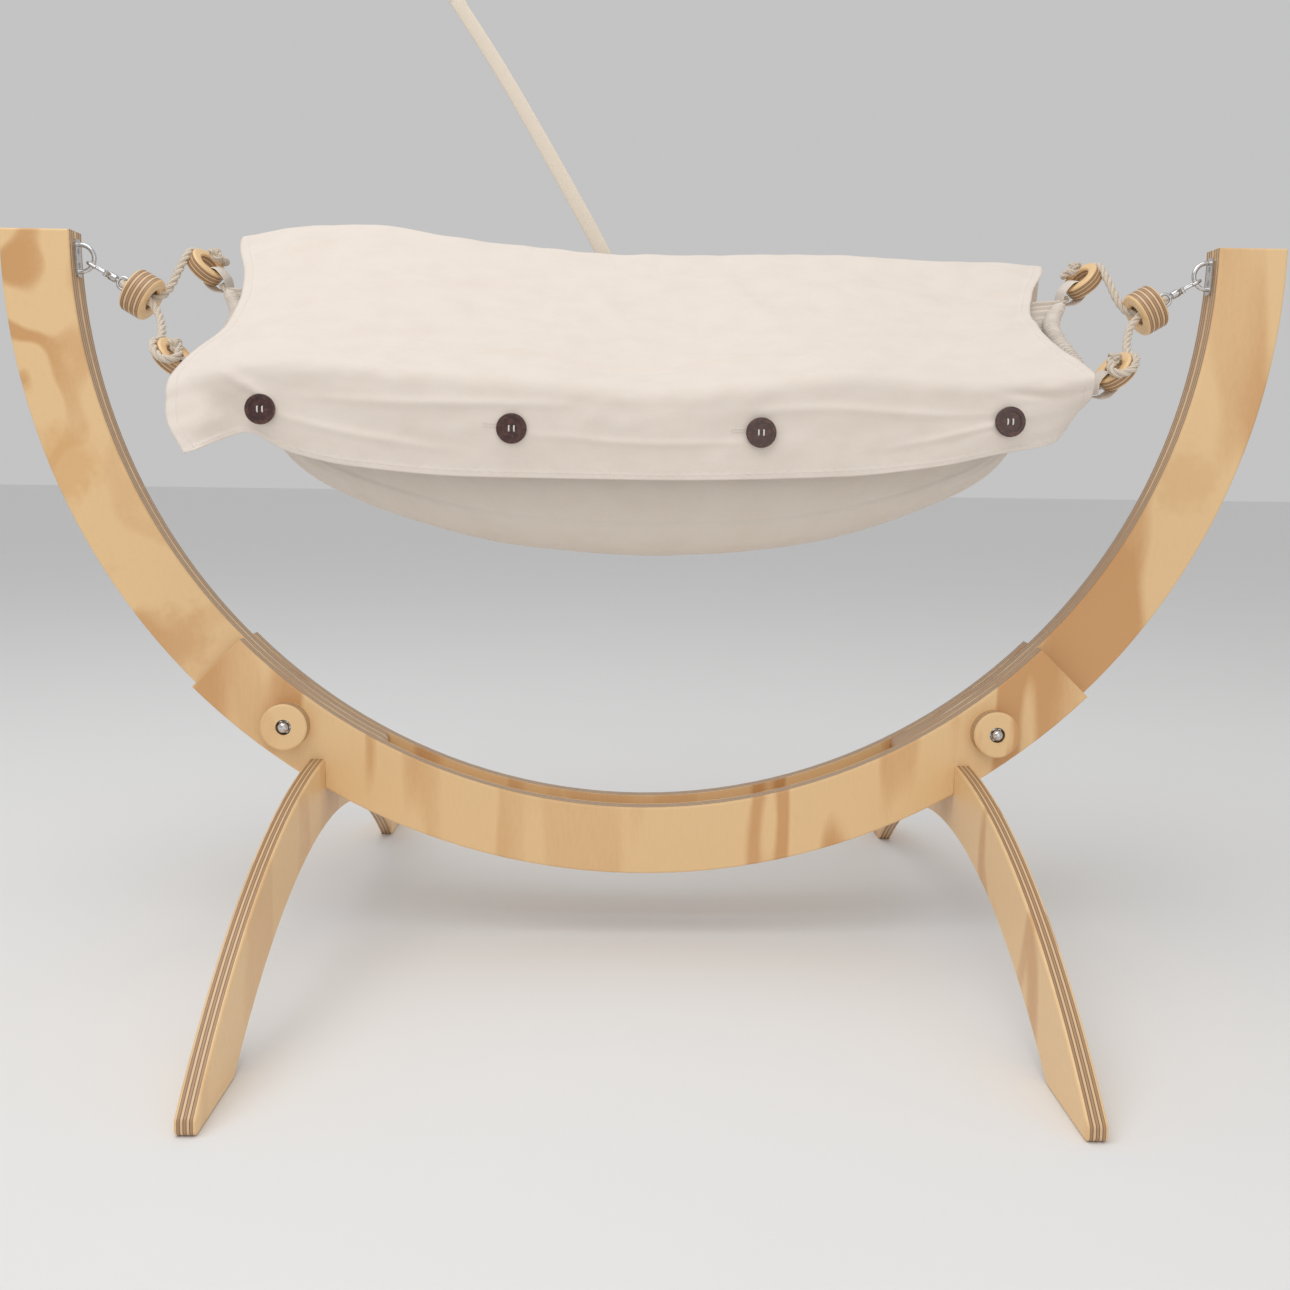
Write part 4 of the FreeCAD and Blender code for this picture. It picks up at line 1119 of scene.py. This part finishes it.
def join_pieces(name, pieces):
    """Join loose pieces into one."""
    bpy.ops.object.select_all(action="DESELECT")
    for piece in pieces:
        piece.select_set(True)
    bpy.context.view_layer.objects.active = pieces[0]
    bpy.ops.object.join()
    pieces[0].name = name
    return pieces[0]


# ---------------------------------------------------------------- operators


class HAMMOCK_OT_stage(bpy.types.Operator):
    """Set up the floor, the lights and the camera"""
    bl_idname = "hammock.stage"
    bl_label = "Studio stage"

    def execute(self, context):
        scene = context.scene
        settings = scene.hammock_stage
        finish, _ = new_finish("studio_floor", lambda tree: tint(
            tree, grainy(tree, own_position(tree), 3.0), tuple(settings.floor),
            dimmed(settings.floor, 0.98)), 0.85)
        corners = [(x * FLOOR_HALF, y * FLOOR_HALF, -0.0005) for x, y in ((-1, -1), (1, -1), (1, 1), (-1, 1))]
        floor = new_piece("studio_floor", corners, [(0, 1, 2, 3)], finish, smooth=False)
        for name, power, size, place in (("key_light", settings.key, 3.0, (-0.7, -0.9, 3.0)),
                                         ("fill_light", settings.fill, 2.6, (0.9, -3.2, 1.3))):
            lamp = bpy.data.lights.new(name, "AREA")
            lamp.energy = power
            lamp.size = size
            lamp.color = (1.0, 0.9, 0.77) if name == "fill_light" else (1, 1, 1)
            holder = bpy.data.objects.new(name, lamp)
            holder.location = place
            holder.rotation_euler = (Vector((0, 0, 0.55)) - Vector(place)).to_track_quat("-Z", "Y").to_euler()
            scene.collection.objects.link(holder)
        world = bpy.data.worlds.new("studio_air")
        world.use_nodes = True
        world.node_tree.nodes["Background"].inputs[0].default_value = (1, 1, 1, 1)
        world.node_tree.nodes["Background"].inputs[1].default_value = 0.55
        scene.world = world
        scene.view_settings.view_transform = "Standard"
        eye = bpy.data.cameras.new("studio_camera")
        eye.sensor_width = 36
        eye.lens = 36.33
        eye.shift_y = -0.0462
        eye.clip_start = 0.05
        camera = bpy.data.objects.new("studio_camera", eye)
        scene.collection.objects.link(camera)
        turn = Matrix.Rotation(CAMERA_YAW, 4, "Z") @ Matrix.Rotation(CAMERA_TILT, 4, "X")
        turn = turn @ Matrix.Rotation(CAMERA_ROLL, 4, "Z")
        camera.matrix_world = Matrix.Translation(CAMERA_AT) @ turn
        scene.camera = camera
        return {"FINISHED"}


class HAMMOCK_OT_stand(bpy.types.Operator):
    """Veneer the arc's boards, the legs and the clamps' wooden discs"""
    bl_idname = "hammock.stand"
    bl_label = "Plywood stand"

    def execute(self, context):
        settings = context.scene.hammock_stand
        plywood_group()
        ply = BOARD / 7
        front, back = (0, 1, 0), -STACK_HALF
        cheek = plywood("cheek_veneer", front, back, ply, 7, (11, 3, 1.9), 3.2, settings)
        finish_cad(("front_cheek", "rear_cheek"), cheek)
        left = plywood("left_arm_veneer", front, back, ply, 7, (6.5, 2, 5.2), 5.0, settings, patches=[
            ((-0.652, -BOARD, 0.491), 0.0075, (0.055, 0.022, 0.012, 1), 0.95),
            ((-0.640, -BOARD, 0.52), 0.055, (0.70, 0.36, 0.12, 1), 0.45),
            ((-0.52, -BOARD, 0.33), 0.05, (0.62, 0.32, 0.12, 1), 0.40)])
        finish_cad(("left_arm_front_board", "left_arm_rear_board"), left)
        right = plywood("right_arm_veneer", front, back, ply, 7, (9, 2, 2.6), 2.2, settings, patches=[
            ((0.60, -BOARD, 0.52), 0.045, (0.66, 0.36, 0.13, 1), 0.30)])
        finish_cad(("right_arm_front_board", "right_arm_rear_board"), right)
        for side, sign in (("left", -1), ("right", 1)):
            start = sign * LEG_X - BOARD / 2
            leg = plywood(side + "_leg_veneer", (1, 0, 0), start, ply, 7, (2, 10, 2.4), 3.0, settings)
            finish_cad((side + "_leg",), leg)
            knob_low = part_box(side + "_knob_disc")[0].y
            knob = plywood(side + "_knob_veneer", front, knob_low, ply, 7, (30, 4, 8), 2.0, settings)
            finish_cad((side + "_knob_disc",), knob)
            disc_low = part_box(side + "_rear_disc")[0].y
            disc = plywood(side + "_disc_veneer", front, disc_low, ply, 7, (30, 4, 8), 2.0, settings)
            finish_cad((side + "_rear_disc",), disc)
        return {"FINISHED"}


class HAMMOCK_OT_rings(bpy.types.Operator):
    """Finish the turned rings, whose plies lie across their own axes"""
    bl_idname = "hammock.rings"
    bl_label = "Turned rings"

    def execute(self, context):
        settings = context.scene.hammock_stand
        for side in SIDES:
            pull = mirror_x((math.cos(PULL_SLOPE), 0, -math.sin(PULL_SLOPE)), side)
            centre = mirror_x(along_pull(HANG_RING_AT), side)
            start = centre.dot(pull) - HANG_RING_T / 2
            thick = plywood(side + "_hang_ring_wood", pull, start, HANG_RING_T / 9, 9, (24, 24, 24), 1.5,
                            settings)
            finish_cad((side + "_hang_ring",), thick)
            for which in CORNERS:
                middle, _, _, facing = corner_frame(which)
                facing = mirror_x(facing, side)
                start = mirror_x(middle, side).dot(facing) - CORNER_RING_T / 2
                name = f"{side}_{which}_corner_ring"
                thin = plywood(name + "_wood", facing, start, CORNER_RING_T / 7, 7, (26, 26, 8), 1.8,
                               settings)
                finish_cad((name,), thin)
        return {"FINISHED"}


class HAMMOCK_OT_steel(bpy.types.Operator):
    """Plate the bolts, nuts, washers, pad eyes, screws and snap hooks"""
    bl_idname = "hammock.steel"
    bl_label = "Steel fittings"

    def execute(self, context):
        zinc = steel("zinc_plate", (0.62, 0.63, 0.65, 1), 0.26, 0.42)
        bright = steel("polished_plate", (0.74, 0.74, 0.75, 1), 0.12, 0.26)
        finish_cad(("bolt_head_washers", "pad_eye_screws"), zinc)
        for side in SIDES:
            finish_cad([f"{side}_{part}" for part in DULL_PARTS], zinc)
            finish_cad([f"{side}_{part}" for part in BRIGHT_PARTS], bright)
        return {"FINISHED"}


class HAMMOCK_OT_strap(bpy.types.Operator):
    """Lay the pull strap and its sewn hand loop"""
    bl_idname = "hammock.strap"
    bl_label = "Pull strap"

    def execute(self, context):
        settings = context.scene.hammock_rope
        finish = webbing("strap_webbing", tuple(settings.colour))
        width, thick = settings.strap_width, settings.strap_thickness
        route = [Vector(p) for p in STRAP_ROUTE]
        run = (route[-1] - route[-2]).normalized()
        wide = run.cross(STRAP_FACING).normalized()
        path = nurbs_path("strap_line", route)
        strap = ribbon("woven_strap", path, (width, width), (wide, wide), thick, finish)
        hang(strap, "pull_strap")
        normal = run.cross(wide)
        bends = [route[-1] + run * (a * LOOP_LENGTH) + normal * (b * LOOP_HALF) for a, b in LOOP_SHAPE]
        bends.append(route[-1] - run * 0.022 - normal * (thick + 0.3 * MM))
        loop_path = nurbs_path("loop_line", bends)
        loop = ribbon("strap_hand_loop", loop_path, (width, width), (wide, wide), thick, finish)
        hang(loop, "pull_strap_loop")
        seam = []
        for across in (-0.36, 0.36):
            base = route[-1] + wide * (across * width) - normal * (thick * 1.5 + 0.3 * MM)
            seam.append([base - run * (0.020 * i / 4) for i in range(5)])
        thread = twine("strap_thread", (0.9, 0.86, 0.78, 1))
        stitches = grow("strap_seam", "Running stitch", seam, thread, Pitch=0.0026)
        hang(stitches)
        return {"FINISHED"}


class HAMMOCK_OT_ropes(bpy.types.Operator):
    """Lay the suspension ropes with their knots, and the ropes in the end hems"""
    bl_idname = "hammock.ropes"
    bl_label = "Ropes and knots"

    def execute(self, context):
        settings = context.scene.hammock_rope
        rope_tree()
        yarn_group()
        finish = rope_cotton("laid_cotton", tuple(settings.colour))
        route = nurbs_path("suspension_line", suspension_route())
        hem = nurbs_path("hem_line", hem_route())
        for side in SIDES:
            lines = [[mirror_x(p, side) for p in route]]
            rope = grow(side + "_laid_rope", "Laid rope", lines, finish, Rope_radius=settings.radius,
                        Lay=settings.lay)
            knots = [knot_line("back", route[0], side), knot_line("front", route[-1], side)]
            tied = grow(side + "_rope_knots", "Laid rope", knots, finish, Rope_radius=settings.radius * 0.74,
                        Lay=settings.lay * 0.8)
            hang(tied)
            hang(rope, side + "_suspension_rope")
            lines = [[mirror_x(p, side) for p in hem]]
            core = grow(side + "_hem_core", "Laid rope", lines, finish, Rope_radius=settings.radius * 0.85,
                        Lay=settings.lay)
            hang(core, side + "_hem_rope")
        return {"FINISHED"}


class HAMMOCK_OT_sling(bpy.types.Operator):
    """Sew the sling, its gathered end casings and the tabs round the corner rings"""
    bl_idname = "hammock.sling"
    bl_label = "Cotton sling"

    def execute(self, context):
        settings = context.scene.hammock_cloth
        weave_group()
        stitch_tree()
        finish = cotton("sling_canvas", tuple(settings.sling), 0.0008)
        sling = grid_piece("cotton_sling", 321, 241, sling_place, sling_relief, finish)
        thicken(sling, settings.thickness, 0.0)
        hang(sling, "sling")
        for side in SIDES:
            casing = ends_casing(side, finish)
            hang(casing, side + "_end_casing")
            tabs = join_pieces(side + "_sewn_tabs", [ring_tab(which, side, finish) for which in CORNERS])
            hang(tabs, side + "_ring_tabs")
        return {"FINISHED"}


class HAMMOCK_OT_cover(bpy.types.Operator):
    """Lay the cover sheet over the sling, with its hems and stitching"""
    bl_idname = "hammock.cover"
    bl_label = "Cotton cover"

    def execute(self, context):
        settings = context.scene.hammock_cloth
        finish = cotton("cover_cotton", tuple(settings.cover), 0.0007)
        hem = settings.hem / MM

        def relief(u, v, place):
            from_end = min(u, 1 - u) * COVER_WIDE
            from_edge = min(1 - v, v) * COVER_DEEP
            folded = 1 / (1 + math.exp((min(from_end, from_edge) - hem) * 1.6))
            pucker = 0.35 * math.sin(place.x * 0.55) * math.exp(-((from_edge - hem) / 4) ** 2)
            return cover_relief(u, v, place) + 0.7 * folded + pucker

        cover = grid_piece("cotton_cover", 361, 221, cover_place, relief, finish)
        thicken(cover, settings.thickness)
        hang(cover, "cover")

        def on_cover(u, v):
            place = cover_place(u, v)
            step = 0.003
            ahead = cover_place(min(1, u + step), v) - cover_place(max(0, u - step), v)
            across = cover_place(u, min(1, v + step)) - cover_place(u, max(0, v - step))
            normal = across.cross(ahead).normalized()
            return (place + normal * (relief(u, v, place) + 0.15)) * MM

        inset_u, inset_v = hem * 0.86 / COVER_WIDE, hem * 0.86 / COVER_DEEP
        rows = [[on_cover(inset_u + (1 - 2 * inset_u) * i / 300, v) for i in range(301)]
                for v in (1 - inset_v, inset_v)]
        rows += [[on_cover(u, i / 200) for i in range(201)] for u in (inset_u, 1 - inset_u)]
        thread = twine("hem_thread", (0.88, 0.85, 0.80, 1))
        stitches = grow("cover_stitching", "Running stitch", rows, thread, Pitch=settings.stitch)
        hang(stitches)
        holes = []
        for i in (1, 2):
            start = BUTTON_MIDDLE + (i - 1.5) * BUTTON_PITCH - 31
            for dz in (1.4, -1.4):
                v = FLAP_SHARE + (1 - FLAP_SHARE) * (0.46 - dz / 90)
                holes.append([on_cover((start + j * 1.25 - COVER_START) / COVER_SPAN, v) for j in range(12)])
        bars = grow("buttonhole_bars", "Running stitch", holes, thread, Pitch=0.0012, Thread_radius=0.0009,
                    Share=0.5)
        hang(bars)
        return {"FINISHED"}


class HAMMOCK_OT_buttons(bpy.types.Operator):
    """Finish the buttons and the thread that holds them"""
    bl_idname = "hammock.buttons"
    bl_label = "Buttons"

    def execute(self, context):
        settings = context.scene.hammock_cloth
        finish_cad(("cover_buttons",), horn_button("dark_button", tuple(settings.button)))
        finish_cad(("button_threads",), twine("button_thread", (0.86, 0.83, 0.78, 1)))
        return {"FINISHED"}


STEPS = ("stage", "stand", "rings", "steel", "sling", "strap", "ropes", "cover", "buttons")


class HAMMOCK_PT_finish(bpy.types.Panel):
    """The hammock's pieces and their settings"""
    bl_label = "Cradle hammock"
    bl_idname = "HAMMOCK_PT_finish"
    bl_space_type = "VIEW_3D"
    bl_region_type = "UI"
    bl_category = "Hammock"

    def draw(self, context):
        column = self.layout.column()
        for step in STEPS:
            column.operator("hammock." + step)
        for name in ("hammock_stand", "hammock_cloth", "hammock_rope", "hammock_stage"):
            settings = getattr(context.scene, name)
            box = self.layout.box()
            for key in settings.__annotations__:
                box.prop(settings, key)


SETTINGS = {"hammock_stand": StandSettings, "hammock_cloth": ClothSettings, "hammock_rope": RopeSettings,
            "hammock_stage": StageSettings}
CLASSES = (StandSettings, ClothSettings, RopeSettings, StageSettings, HAMMOCK_OT_stage, HAMMOCK_OT_stand,
           HAMMOCK_OT_rings, HAMMOCK_OT_steel, HAMMOCK_OT_sling, HAMMOCK_OT_strap, HAMMOCK_OT_ropes,
           HAMMOCK_OT_cover, HAMMOCK_OT_buttons, HAMMOCK_PT_finish)


def register():
    for kind in CLASSES:
        bpy.utils.register_class(kind)
    for name, kind in SETTINGS.items():
        setattr(bpy.types.Scene, name, bpy.props.PointerProperty(type=kind))


def unregister():
    for name in SETTINGS:
        delattr(bpy.types.Scene, name)
    for kind in reversed(CLASSES):
        bpy.utils.unregister_class(kind)


def main():
    register()
    for step in STEPS:
        getattr(bpy.ops.hammock, step)()


if __name__ == "__main__":
    main()
